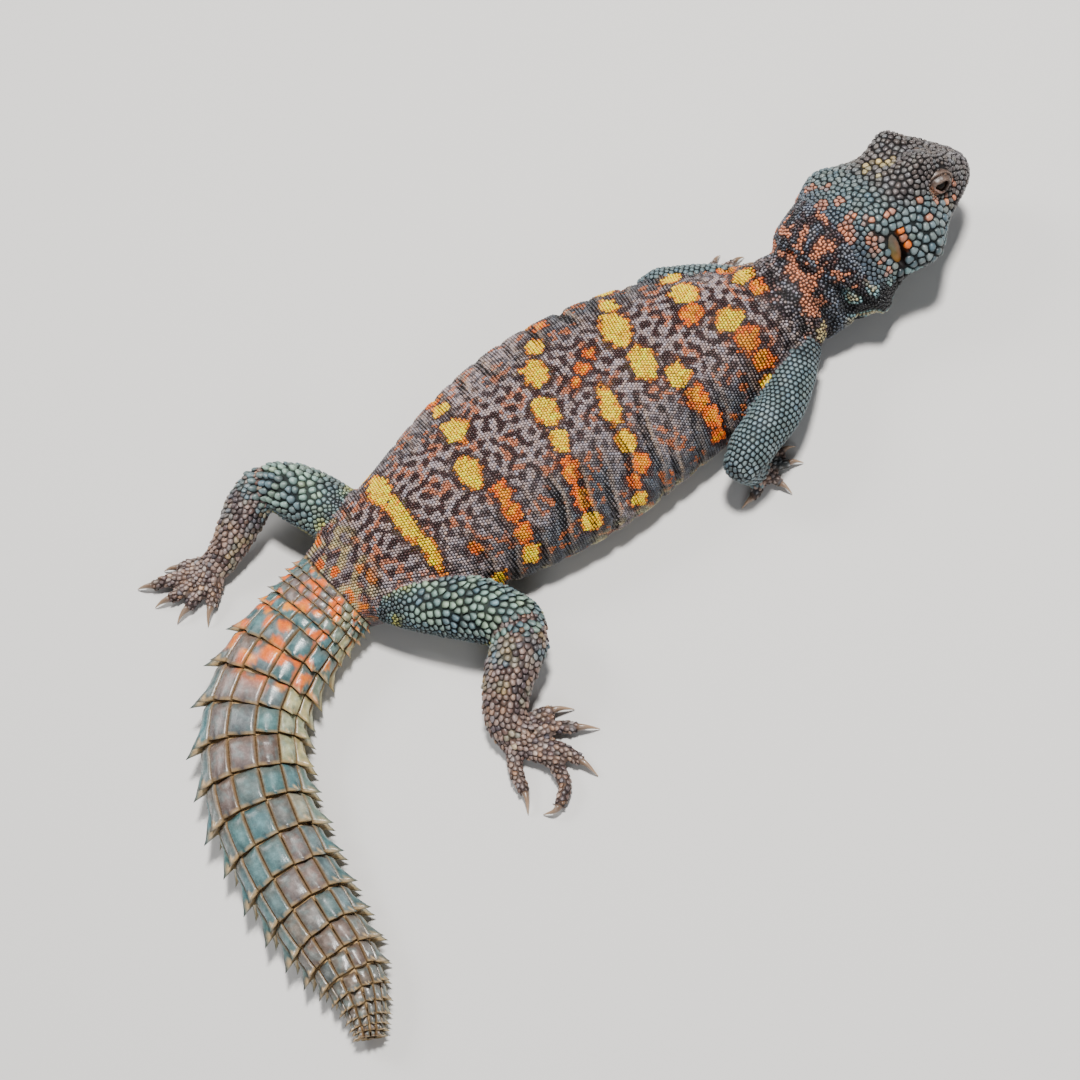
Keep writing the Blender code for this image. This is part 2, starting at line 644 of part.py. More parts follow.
def limb_loft(name, stations, grow=0.0):
    """A rounded length of limb through its stations, or its hollow when it is grown."""
    stations = np.array(stations, float)
    stations[:, 3:] += grow
    stations[0, :3] -= unit(stations[1, :3] - stations[0, :3]) * grow
    stations[-1, :3] += unit(stations[-1, :3] - stations[-2, :3]) * grow
    curve = Curve.through(stations)
    end = curve.keys[-1]
    rows = max(int(round(end / LIMB_STEP)), 3)
    rings = []
    side = None
    for i in range(rows + 1):
        key = end * i / rows
        heading = curve.heading(key)
        if side is None:
            helper = np.array((0.0, 0.0, 1.0)) if abs(heading[2]) < 0.8 else np.array((1.0, 0.0, 0.0))
            side = unit(np.cross(heading, helper))
        side = unit(side - heading * np.dot(side, heading))
        up = np.cross(side, heading)
        row = curve.at(key)
        rings.append(ring_points(row[:3], side, up, row[3], row[4], row[4], 0.1, LIMB_COLUMNS))
    return loft(name, rings)


def split(obj, name, point, outward):
    """Splits an object at a plane. What lies beyond it becomes the second one, a gap away."""
    outward = unit(outward)
    beyond = copy_of(obj, name)
    cut(beyond, half_space("far", np.array(point) + outward * GAP / 2, outward), "INTERSECT")
    cut(obj, half_space("near", np.array(point) - outward * GAP / 2, outward))
    return beyond


def bend_plane(limb):
    """The plane through the knee or elbow, square between its two lengths."""
    upper = np.array(limb["upper"])[:, :3]
    lower = np.array(limb["lower"])[:, :3]
    normal = unit(upper[4] - upper[2]) + unit(lower[3] - lower[1])
    return (upper[4] + lower[1]) / 2, normal


def whole_limb(limb, name, grow=0.0):
    """Both lengths of a limb as one solid."""
    upper = limb_loft(name, limb["upper"], grow)
    return fuse(upper, [limb_loft("lower", limb["lower"], grow)])


def build_limb(limb, names, end_cut, color):
    """One limb. Returns its whole form, its hollow beyond the trunk and the end that enters the foot."""
    whole = whole_limb(limb, "whole")
    hollow = whole_limb(limb, "hollow", GAP)
    point, outward = SIDE_CUTS[names[0]]
    outward = unit(outward)
    cut(hollow, half_space("far", point - outward * GAP / 2, outward), "INTERSECT")
    upper = copy_of(whole, names[0])
    cut(upper, half_space("far", point + outward * GAP / 2, outward), "INTERSECT")
    lower = split(upper, names[1], *bend_plane(limb))
    end = split(lower, "end", *end_cut)
    finish(upper, color, 0.7)
    finish(lower, color, 0.7)
    return whole, hollow, end


def toe(points, radii, claw, claw_heading):
    """One toe with its curved claw as two closed solids."""
    curve = Curve.through([(*p, 0.0) for p in points])
    end = curve.keys[-1]
    rows = max(int(round(end / 2.8)), 3)
    rings = []
    for i in range(rows + 1):
        key = end * i / rows
        heading = curve.heading(key)
        side = unit(np.cross(heading, (0.0, 0.0, 1.0)))
        up = np.cross(side, heading)
        radius = radii[0] + (radii[1] - radii[0]) * i / rows
        radius *= 1.0 + 0.10 * math.cos(2 * math.pi * key / 3.6)
        rings.append(ring_points(curve.at(key)[:3], side, up, radius, radius, radius, 0.1, TOE_COLUMNS))
    pieces = [loft("toe", rings)]
    heading = math.radians(claw_heading)
    way = np.array((math.cos(heading), math.sin(heading), 0.0))
    last = np.array(points[-1], float)
    before = unit(last - np.array(points[-2], float))
    nail = []
    for i in range(5):
        t = i / 4
        bow = unit(before * (1 - t) + way * t)
        place = last - before * 0.5 + (before * (1 - 0.5 * t) + way * 0.5 * t) * claw * t
        place[2] = last[2] + 0.5 * math.sin(math.pi * t) - (last[2] - 0.35) * t * t
        side = unit(np.cross(bow, (0.0, 0.0, 1.0)))
        up = np.cross(side, bow)
        radius = radii[1] * 0.66 * (1 - 0.78 * t)
        nail.append(ring_points(place, side, up, radius, radius * 1.15, radius, 0.0, 6))
    pieces.append(loft("claw", nail))
    return pieces


def build_foot(name, end, toes, radii, claw, palm, color):
    """A hand or foot: the end of the limb, its sole, toes and claws fused and set on the floor."""
    pieces = []
    for points, claw_heading in toes:
        pieces += toe(points, radii, claw, claw_heading)
    roots = np.array([points[0] for points, _ in toes])
    middle = roots.mean(axis=0)
    middle[2] = palm[2] * 0.8
    along = unit((*(np.array([p[1] for p, _ in toes]).mean(axis=0) - middle)[:2], 0.0))
    across = np.cross(along, (0.0, 0.0, 1.0))
    pieces.append(ellipsoid("sole", middle, (along, np.array((0.0, 0.0, 1.0)), across),
                            (palm[0], palm[2], palm[1]), 12, 6))
    end.name = name
    fuse(end, pieces)
    floor = block("floor", np.array((0.0, 0.0, -20.0)), np.eye(3), (150.0, 150.0, 20.0))
    cut(end, floor)
    return finish(end, color, 0.65)


def tail_curve():
    """The spine from the hips to the tip of the tail."""
    return Curve.through([row[:6] for row in TRUNK_RINGS[-2:] + TAIL_RINGS])


def scute_ring(curve, key, part, variation):
    """One ring of a whorl: its front under the whorl before, its middle, or its spiny rear edge."""
    points = []
    columns = 2 * SCUTES_ROUND
    size = smoothstep(-2.0, 30.0, curve.keys[-1] - key)
    for column in range(columns):
        angle = 2 * math.pi * column / columns + math.pi / 2
        spine = column % 2 == 0
        armour = 1.0 - smoothstep(0.30, 0.85, -math.sin(angle))
        lateral = math.cos(angle) ** 2
        travel = key
        swell = 0.0
        if part == "front":
            swell = -SCUTE_STEP * armour
        elif part == "middle":
            swell = (-0.45 * SCUTE_STEP if spine else -0.45 * SCUTE_STEP - SCUTE_GROOVE) * armour
        elif spine:
            reach = SPINE_LENGTH_TOP + (SPINE_LENGTH_SIDE - SPINE_LENGTH_TOP) * lateral
            reach *= (0.45 + 0.55 * size) * variation[column // 2]
            travel += reach * armour
            swell = (0.25 + SPINE_FLARE * lateral * (0.5 + 0.5 * size)) * armour
        else:
            travel -= 0.35 * armour
            swell = -SCUTE_GROOVE * armour
        row = curve.at(key)
        heading = curve.heading(key)
        right, up = frame_across(heading)
        height = row[4] if math.sin(angle) > 0 else row[5]
        across = power(math.cos(angle), 0.92)
        level = power(math.sin(angle), 0.90)
        out = unit(right * math.cos(angle) * height + up * math.sin(angle) * row[3])
        place = row[:3] + right * row[3] * across + up * height * level + out * swell
        points.append(place + heading * (travel - key))
    return settle(points)


def build_tail():
    """The tail in four lengths, each a run of whorls of keeled scutes with a spine behind each."""
    chance = random.Random(7)
    curve = tail_curve()
    start = curve.keys[1]
    whorl = 0
    for node, count in enumerate(WHORLS_PER_TAIL_NODE):
        rings = []
        for _ in range(count):
            length = WHORLS[whorl]
            variation = [chance.uniform(0.85, 1.12) for _ in range(SCUTES_ROUND)]
            rings.append(scute_ring(curve, start + GAP / 2, "front", variation))
            rings.append(scute_ring(curve, start + 0.42 * length, "middle", variation))
            rings.append(scute_ring(curve, start + length - 0.25, "rear", variation))
            start += length
            whorl += 1
        if whorl < len(WHORLS):
            rings.append(scute_ring(curve, start - GAP / 2, "front", variation))
        else:
            end = curve.at(start)
            ring = scute_ring(curve, start - GAP / 2, "front", variation)
            rings.append(ring)
            rings.append(settle(end[:3] + (ring - end[:3]) * 0.5 + curve.heading(start) * 1.0))
        tail = loft("tail_%d" % (node + 1), rings)
        finish(tail, (0.16, 0.17, 0.15), 0.6)


def clear_scene():
    for obj in list(bpy.data.objects):
        bpy.data.objects.remove(obj, do_unlink=True)


def build_feet(ends):
    tan = (0.17, 0.13, 0.11)
    pale = (0.15, 0.17, 0.17)
    build_foot("foot_right", ends["foot_right"], FOOT_RIGHT_TOES, FOOT_TOE_RADIUS, FOOT_CLAW, (4.6, 4.4, 2.7), tan)
    build_foot("foot_left", ends["foot_left"], FOOT_LEFT_TOES, FOOT_TOE_RADIUS, FOOT_CLAW, (4.2, 4.2, 2.7), tan)
    build_foot("hand_right", ends["hand_right"], HAND_RIGHT_TOES, HAND_TOE_RADIUS, HAND_CLAW, (3.4, 3.6, 2.3), pale)
    build_foot("hand_left", ends["hand_left"], HAND_LEFT_TOES, HAND_TOE_RADIUS, HAND_CLAW, (3.4, 3.6, 2.3), pale)


def main():
    clear_scene()
    green = (0.13, 0.19, 0.16)
    blue = (0.14, 0.18, 0.20)
    ends = {}
    wholes = []
    hollows = []
    limbs = (
        (HIND_RIGHT, ("thigh_right", "shank_right"), ANKLES["right"], green, "foot_right"),
        (HIND_LEFT, ("thigh_left", "shank_left"), ANKLES["left"], green, "foot_left"),
        (FORE_RIGHT, ("upper_arm_right", "forearm_right"), WRISTS["right"], blue, "hand_right"),
        (FORE_LEFT, ("upper_arm_left", "forearm_left"), WRISTS["left"], blue, "hand_left"),
    )
    for limb, names, end_cut, color, end_name in limbs:
        whole, hollow, ends[end_name] = build_limb(limb, names, end_cut, color)
        wholes.append(whole)
        hollows.append(hollow)
    curve = spine_curve()
    build_neck(curve)
    build_trunk(curve, wholes, hollows)
    build_tail()
    build_feet(ends)
    head, jaw = build_head()
    finish(head, (0.10, 0.10, 0.11), 0.65)
    finish(jaw, (0.09, 0.10, 0.11), 0.65)
    build_eyes()
    build_eardrums()


main()
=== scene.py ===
"""Looks of a life-size still model of an adult ornate uromastyx.

The animal faces -Y, its right side is -X and the floor is z = 0. Places are worked out in
millimetres and the meshes are made in metres. One skin stands for all nodes of flesh, and every
scale on it is solid mesh: granules in rows on the trunk, plates fitted to each other on the head
and legs, and whorls of spiny scutes on the tail. A scale and the skin under it share one colour.
"""

from __future__ import annotations

import logging
import math
from dataclasses import dataclass, field
from enum import Enum
from typing import Callable

import bmesh
import bpy
import numpy as np
from mathutils import Matrix, Vector, noise
from mathutils.bvhtree import BVHTree
from mathutils.kdtree import KDTree


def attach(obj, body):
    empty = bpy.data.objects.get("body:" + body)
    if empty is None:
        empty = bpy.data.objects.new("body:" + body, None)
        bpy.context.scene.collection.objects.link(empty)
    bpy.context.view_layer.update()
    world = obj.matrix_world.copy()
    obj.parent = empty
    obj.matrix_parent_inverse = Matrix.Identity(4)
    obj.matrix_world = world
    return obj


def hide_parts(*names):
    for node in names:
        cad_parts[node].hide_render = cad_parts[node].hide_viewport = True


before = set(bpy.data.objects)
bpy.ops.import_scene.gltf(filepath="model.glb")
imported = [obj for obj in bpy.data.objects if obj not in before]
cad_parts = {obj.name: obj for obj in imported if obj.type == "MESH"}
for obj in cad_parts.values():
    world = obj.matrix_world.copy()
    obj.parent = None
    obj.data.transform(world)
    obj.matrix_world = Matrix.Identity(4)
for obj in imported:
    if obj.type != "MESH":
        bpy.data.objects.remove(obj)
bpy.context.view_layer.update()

LOG = logging.getLogger("uromastyx")
Array = np.ndarray
Color = tuple[float, float, float]
# gives one value or direction for each place, from the places, their normals and atlas rows
Rule = Callable[[Array, Array, Array], Array]

MM = 0.001
CENTRING = np.array((13.0, 15.7, 0.0))
BODY = "root"
PATCH = 0.003
UP = np.array((0.0, 0.0, 1.0))

HEAD_ORIGIN = np.array((24.5, -95.5, 16.6))
HEAD_YAW = math.radians(4.7)
HEAD_RISE = math.radians(1.0)
HEAD_ROLL = math.radians(20.0)
# forward of the ears' middle and above it; then the right nostril; then half the width of the
# head's core, beyond which its sides start
EAR = (0.2, -0.9)
NOSTRIL = np.array((25.2, 4.0, 1.2))
HEAD_CORE = 9.0

# forward of the ears, half width, crown, level of the greatest width, underside
HEAD_RINGS = (
    (-8.0, 13.8, 9.8, -4.6, -13.8),
    (-4.0, 14.4, 9.9, -4.2, -13.2),
    (1.0, 14.8, 10.0, -4.0, -12.4),
)
# swellings at the back of the head that run on into the neck: how far, whether on the right side
# alone, and their place and spread in the head's directions
NAPE_SWELLS = (
    (1.4, False, (-7.0, 11.0, -11.0), (6.0, 6.0, 5.0)),
    (4.0, True, (-9.8, 12.0, -10.0), (5.6, 6.0, 5.5)),
    (2.5, False, (-2.0, 11.0, 6.5), (5.0, 5.0, 5.0)),
)
# x, y, level of the greatest width, half width, height above it, depth below it, squareness
TRUNK_RINGS = (
    (20.6, -82.8, 9.4, 12.9, 14.6, 9.0, 0.70),
    (19.2, -77.0, 9.2, 12.2, 12.6, 8.0, 0.45),
    (18.6, -70.5, 9.2, 13.6, 12.2, 8.4, 0.35),
    (18.2, -61.5, 9.0, 16.6, 13.0, 9.2, 0.45),
    (19.6, -47.0, 8.4, 22.2, 14.4, 9.0, 0.60),
    (20.6, -32.0, 8.0, 25.6, 15.0, 8.6, 0.65),
    (20.0, -15.0, 7.8, 27.0, 15.2, 8.4, 0.65),
    (18.6, -1.0, 7.8, 25.4, 14.8, 8.4, 0.65),
    (17.2, 12.0, 7.8, 22.2, 13.8, 8.4, 0.60),
    (16.2, 24.0, 7.8, 18.0, 12.4, 8.3, 0.55),
    (15.6, 34.0, 7.6, 15.0, 10.8, 8.0, 0.45),
    (14.6, 43.5, 6.8, 11.6, 8.4, 7.1, 0.35),
)
NECK_ROLLS = (0.85, 0.40, 0.12, 0.03)
# x, y, level of the greatest width, half width, height above it, depth below it
TAIL_RINGS = (
    (12.6, 49.7, 6.4, 11.6, 7.8, 6.7),
    (7.4, 61.7, 6.2, 11.8, 7.6, 6.5),
    (-1.7, 72.1, 6.1, 11.4, 7.4, 6.4),
    (-15.5, 77.9, 6.0, 10.8, 7.1, 6.3),
    (-31.3, 79.6, 5.8, 9.9, 6.8, 6.1),
    (-48.4, 78.6, 5.3, 8.6, 6.2, 5.6),
    (-60.5, 77.2, 4.7, 7.0, 5.4, 5.0),
    (-67.3, 77.4, 4.1, 5.4, 4.4, 4.4),
    (-72.5, 78.6, 3.4, 3.6, 3.3, 3.6),
    (-76.0, 79.8, 3.0, 2.4, 2.4, 3.1),
    (-77.2, 80.2, 2.6, 1.3, 1.5, 2.5),
    (-77.8, 80.4, 2.2, 0.6, 0.7, 1.9),
)
# how long each whorl of scutes is, from the root of the tail to its tip
WHORLS = (6.0, 6.2, 6.5, 6.8, 7.1, 7.4, 7.7, 7.9, 8.0, 8.0,
          7.6, 6.8, 5.6, 4.4, 3.4, 2.8, 2.3, 1.8, 1.3, 1.0)


def unit(vectors: Array) -> Array:
    """Vectors of length one.

    Args:
        vectors: one vector, or one in each row.

    Returns:
        The same shape.
    """
    vectors = np.asarray(vectors, float)
    return vectors / np.maximum(np.linalg.norm(vectors, axis=-1, keepdims=True), 1e-12)


def smoothstep(low: float, high: float, value: Array | float) -> Array:
    """A smooth rise from 0 at low to 1 at high.

    Args:
        low: where the rise starts.
        high: where it ends; it may lie below low.
        value: one value or many.

    Returns:
        Values from 0 to 1.
    """
    t = np.clip((np.asarray(value, float) - low) / (high - low), 0.0, 1.0)
    return t * t * (3 - 2 * t)


def blend(under: Array | Hue, over: Array | Hue, weight: Array) -> Array:
    """Colours mixed row by row.

    Args:
        under: one colour, or one in each row.
        over: one colour, or one in each row.
        weight: how much of the second shows, from 0 to 1.

    Returns:
        The mixed colours.
    """
    under, over = (np.asarray(c.value if isinstance(c, Hue) else c) for c in (under, over))
    weight = np.asarray(weight)[:, None]
    return under * (1 - weight) + over * weight


def field_noise(points: Array, grain: float, offset: float = 0.0) -> Array:
    """Smooth noise at many places.

    Args:
        points: places in millimetres.
        grain: size of a feature in millimetres.
        offset: moves the pattern, to get another one.

    Returns:
        Values from about -1 to 1.
    """
    scaled = points / grain + offset
    return np.array([noise.noise(Vector(p)) for p in scaled])


def labyrinth(flat: Array, spacing: float, seed: int, waves: int = 28) -> Array:
    """A winding pattern with an even spacing, made of waves in many directions.

    Args:
        flat: places on an unrolled surface, two values in each row.
        spacing: millimetres from one line to the next.
        seed: which pattern.
        waves: how many waves are summed.

    Returns:
        Values about zero, with a spread of one.
    """
    chance = np.random.default_rng(seed)
    turn = (np.arange(waves) + chance.uniform(0, 1, waves)) * math.pi / waves
    number = 2 * math.pi / spacing * chance.uniform(0.88, 1.14, waves)
    phase = chance.uniform(0, 2 * math.pi, waves)
    ways = np.stack([np.cos(turn) * number, np.sin(turn) * number])
    return np.cos(flat @ ways + phase).sum(axis=1) * math.sqrt(2.0 / waves)


def bell(value: Array, middle: Array | float, width: float) -> Array:
    """A smooth hump of height 1 about a middle value."""
    return np.exp(-(((value - middle) / width) ** 2))


def travelled(points: Array) -> Array:
    """The way travelled along a line of points, from 0 at the first."""
    return np.concatenate(([0.0], np.cumsum(np.linalg.norm(np.diff(points, axis=0), axis=1))))


def full_turn(count: int) -> Array:
    """Angles spread evenly round a full turn."""
    return np.arange(count) * 2 * math.pi / count


def every_pair(keys: Array, angles: Array) -> tuple[Array, Array]:
    """Each key with each angle, as two long rows."""
    along, turned = np.meshgrid(keys, angles, indexing="ij")
    return along.ravel(), turned.ravel()


def turn_share(angles: Array) -> Array:
    """Which share of a turn lies between straight down and some angles."""
    return (angles + math.pi / 2) % (2 * math.pi) / (2 * math.pi)


def square_to(ways: Array, out: Array) -> Array:
    """Unit directions turned square to others, such as to the skin's normals."""
    return unit(ways - out * np.sum(ways * out, axis=1)[:, None])


def tree_of(places: Array) -> KDTree:
    """A search tree of places."""
    tree = KDTree(len(places))
    for i, place in enumerate(places):
        tree.insert(Vector(place), i)
    tree.balance()
    return tree


def nearest_in(tree: KDTree, places: Array) -> Array:
    """For each place the number of the nearest one in a tree."""
    return np.array([tree.find(Vector(place))[1] for place in places])


def to_row(points: Array) -> Array:
    """Places in millimetres as places in metres about the middle of the floor."""
    return (np.asarray(points, float) + CENTRING) * MM


def from_row(points: Array) -> Array:
    """Places in metres about the middle of the floor as places in millimetres."""
    return np.asarray(points, float) / MM - CENTRING


class Curve:
    """Rows of values that change smoothly along a body part."""

    def __init__(self, keys: Array, rows: Array) -> None:
        """Keeps the rows and their slopes.

        Args:
            keys: where along the part each row stands.
            rows: the values, with a place in the first three columns.
        """
        self.keys = np.array(keys, float)
        self.rows = np.array(rows, float)
        self.slopes = np.gradient(self.rows, self.keys, axis=0)

    @classmethod
    def through(cls, rows: Array) -> Curve:
        """A curve through rows that start with a place, keyed by the way travelled."""
        rows = np.array(rows, float)
        return cls(travelled(rows[:, :3]), rows)

    def at(self, keys: Array) -> Array:
        """The rows at some keys, held at the ends.

        Args:
            keys: where along the part.

        Returns:
            One row for each key.
        """
        keys = np.clip(np.atleast_1d(np.asarray(keys, float)), self.keys[0], self.keys[-1])
        i = np.clip(np.searchsorted(self.keys, keys, side="right") - 1, 0, len(self.keys) - 2)
        span = (self.keys[i + 1] - self.keys[i])[:, None]
        t = (keys - self.keys[i])[:, None] / span
        return (
            (2 * t**3 - 3 * t**2 + 1) * self.rows[i]
            + (t**3 - 2 * t**2 + t) * span * self.slopes[i]
            + (3 * t**2 - 2 * t**3) * self.rows[i + 1]
            + (t**3 - t**2) * span * self.slopes[i + 1]
        )

    def heading(self, keys: Array, reach: float = 0.2) -> Array:
        """The unit directions of travel at some keys."""
        keys = np.atleast_1d(np.asarray(keys, float))
        return unit(self.at(keys + reach)[:, :3] - self.at(keys - reach)[:, :3])


def frame_across(heading: Array, roll: Array | float = 0.0) -> tuple[Array, Array]:
    """The animal's right and its up, square to headings that run from head to tail.

    Args:
        heading: unit directions, one in each row.
        roll: angles by which the right side is turned up.

    Returns:
        Directions to the right and directions up.
    """
    left = unit(np.cross(heading, UP))
    up = np.cross(left, heading)
    turn = np.broadcast_to(np.asarray(roll, float), (len(heading),))[:, None]
    return up * np.sin(turn) - left * np.cos(turn), up * np.cos(turn) + left * np.sin(turn)


def signed_power(value: Array, exponent: Array | float) -> Array:
    """Powers that keep the sign."""
    return np.sign(value) * np.abs(value) ** exponent


def make_object(name: str, mesh: bpy.types.Mesh) -> bpy.types.Object:
    """An object in the scene for a mesh."""
    obj = bpy.data.objects.new(name, mesh)
    bpy.context.scene.collection.objects.link(obj)
    return obj


def mesh_of(name: str, places: Array, faces: Array) -> bpy.types.Mesh:
    """A mesh from arrays.

    Args:
        name: the mesh's name.
        places: corners in millimetres.
        faces: indices, with the same number of corners in each face.

    Returns:
        The smooth mesh.
    """
    mesh = bpy.data.meshes.new(name)
    faces = np.asarray(faces, np.int32)
    mesh.vertices.add(len(places))
    mesh.vertices.foreach_set("co", to_row(places).astype(np.float32).ravel())
    mesh.loops.add(faces.size)
    mesh.loops.foreach_set("vertex_index", faces.ravel())
    mesh.polygons.add(len(faces))
    mesh.polygons.foreach_set("loop_start", np.arange(0, faces.size, faces.shape[1], dtype=np.int32))
    mesh.update(calc_edges=True)
    mesh.validate()
    mesh.shade_smooth()
    return mesh


def point_places(mesh: bpy.types.Mesh) -> Array:
    """A mesh's points in millimetres."""
    places = np.empty(len(mesh.vertices) * 3, np.float32)
    mesh.vertices.foreach_get("co", places)
    return from_row(places.reshape(-1, 3))


def point_normals(mesh: bpy.types.Mesh) -> Array:
    """A mesh's normals at its points."""
    normals = np.empty(len(mesh.vertices) * 3, np.float32)
    mesh.vertex_normals.foreach_get("vector", normals)
    return normals.reshape(-1, 3).astype(float)


def move_points(mesh: bpy.types.Mesh, places: Array) -> None:
    """Moves a mesh's points to places in millimetres."""
    mesh.vertices.foreach_set("co", to_row(places).astype(np.float32).ravel())
    mesh.update()


def attribute_rows(mesh: bpy.types.Mesh, name: str, key: str, width: int) -> Array:
    """What an attribute holds at each point of a mesh, one row for each."""
    rows = np.empty(len(mesh.vertices) * width, np.float32)
    mesh.attributes[name].data.foreach_get(key, rows)
    return rows.reshape(-1, width)


def give_attribute(mesh: bpy.types.Mesh, name: str, kind: str, values: Array) -> None:
    """Stores one value at each point of a mesh.

    Args:
        mesh: the mesh.
        name: the attribute's name.
        kind: the attribute's data type.
        values: one row for each point.
    """
    layer = mesh.attributes.new(name, kind, "POINT")
    if kind == "FLOAT_COLOR":
        values = np.concatenate([values, np.ones((len(values), 1))], axis=1)
    key = {"FLOAT_COLOR": "color", "FLOAT_VECTOR": "vector"}.get(kind, "value")
    layer.data.foreach_set(key, np.asarray(values, np.int32 if kind == "INT" else np.float32).ravel())


def faced_out(mesh: bpy.types.Mesh) -> None:
    """Turns all faces of a closed mesh outward and shades it smooth."""
    form = bmesh.new()
    form.from_mesh(mesh)
    bmesh.ops.recalc_face_normals(form, faces=form.faces)
    form.to_mesh(mesh)
    form.free()
    mesh.shade_smooth()


def applied(obj: bpy.types.Object) -> bpy.types.Mesh:
    """The mesh that an object's modifiers make, with the modifiers removed from it."""
    bpy.context.view_layer.update()
    depsgraph = bpy.context.evaluated_depsgraph_get()
    mesh = bpy.data.meshes.new_from_object(obj.evaluated_get(depsgraph))
    obj.modifiers.clear()
    return mesh


def loft(rings: Array) -> tuple[Array, Array]:
    """A closed surface through rings, with a fan at each end.

    Args:
        rings: rows of points, each ring from the side through the top and round underneath.

    Returns:
        The places and the triangles.
    """
    count, columns = rings.shape[:2]
    places = np.concatenate([rings.reshape(-1, 3), rings[[0, -1]].mean(axis=1)])
    low = (np.arange(count - 1)[:, None] * columns + np.arange(columns)).ravel()
    side = (np.arange(count - 1)[:, None] * columns + (np.arange(columns) + 1) % columns).ravel()
    faces = [np.stack([low, side, side + columns], 1), np.stack([low, side + columns, low + columns], 1)]
    around = np.arange(columns)
    following = (around + 1) % columns
    last = (count - 1) * columns
    middle = count * columns
    faces.append(np.stack([following, around, np.full(columns, middle)], 1))
    faces.append(np.stack([last + around, last + following, np.full(columns, middle + 1)], 1))
    return places, np.concatenate(faces)


@dataclass(frozen=True)
class HeadFrame:
    """The head's own directions: forward of the ears, to the animal's right and up."""

    origin: Array = field(default_factory=lambda: HEAD_ORIGIN)

    def axes(self) -> tuple[Array, Array, Array]:
        """Forward, right and up of the head as unit vectors."""
        forward = np.array((math.sin(HEAD_YAW), -math.cos(HEAD_YAW), 0.0)) * math.cos(HEAD_RISE)
        forward[2] = math.sin(HEAD_RISE)
        right, up = frame_across(-forward[None], HEAD_ROLL)
        return forward, right[0], up[0]

    def place(self, forward: float, right: float, up: float) -> Array:
        """A place given in the head's directions."""
        axes = self.axes()
        return self.origin + axes[0] * forward + axes[1] * right + axes[2] * up

    def coordinates(self, places: Array) -> Array:
        """Places as forward, right and up of the head."""
        return (places - self.origin) @ np.stack(self.axes(), axis=1)


def ear_reach(head: Array, size: tuple[float, float]) -> Array:
    """How far places in the head's directions lie from the ears, in shares of a half size."""
    return np.hypot((head[:, 0] - EAR[0]) / size[0], (head[:, 2] - EAR[1]) / size[1])


def nostril_reach(head: Array) -> Array:
    """How far places in the head's directions lie from the nearer nostril, in millimetres."""
    return np.linalg.norm(np.stack([head[:, 0], np.abs(head[:, 1]), head[:, 2]], axis=1) - NOSTRIL, axis=1)


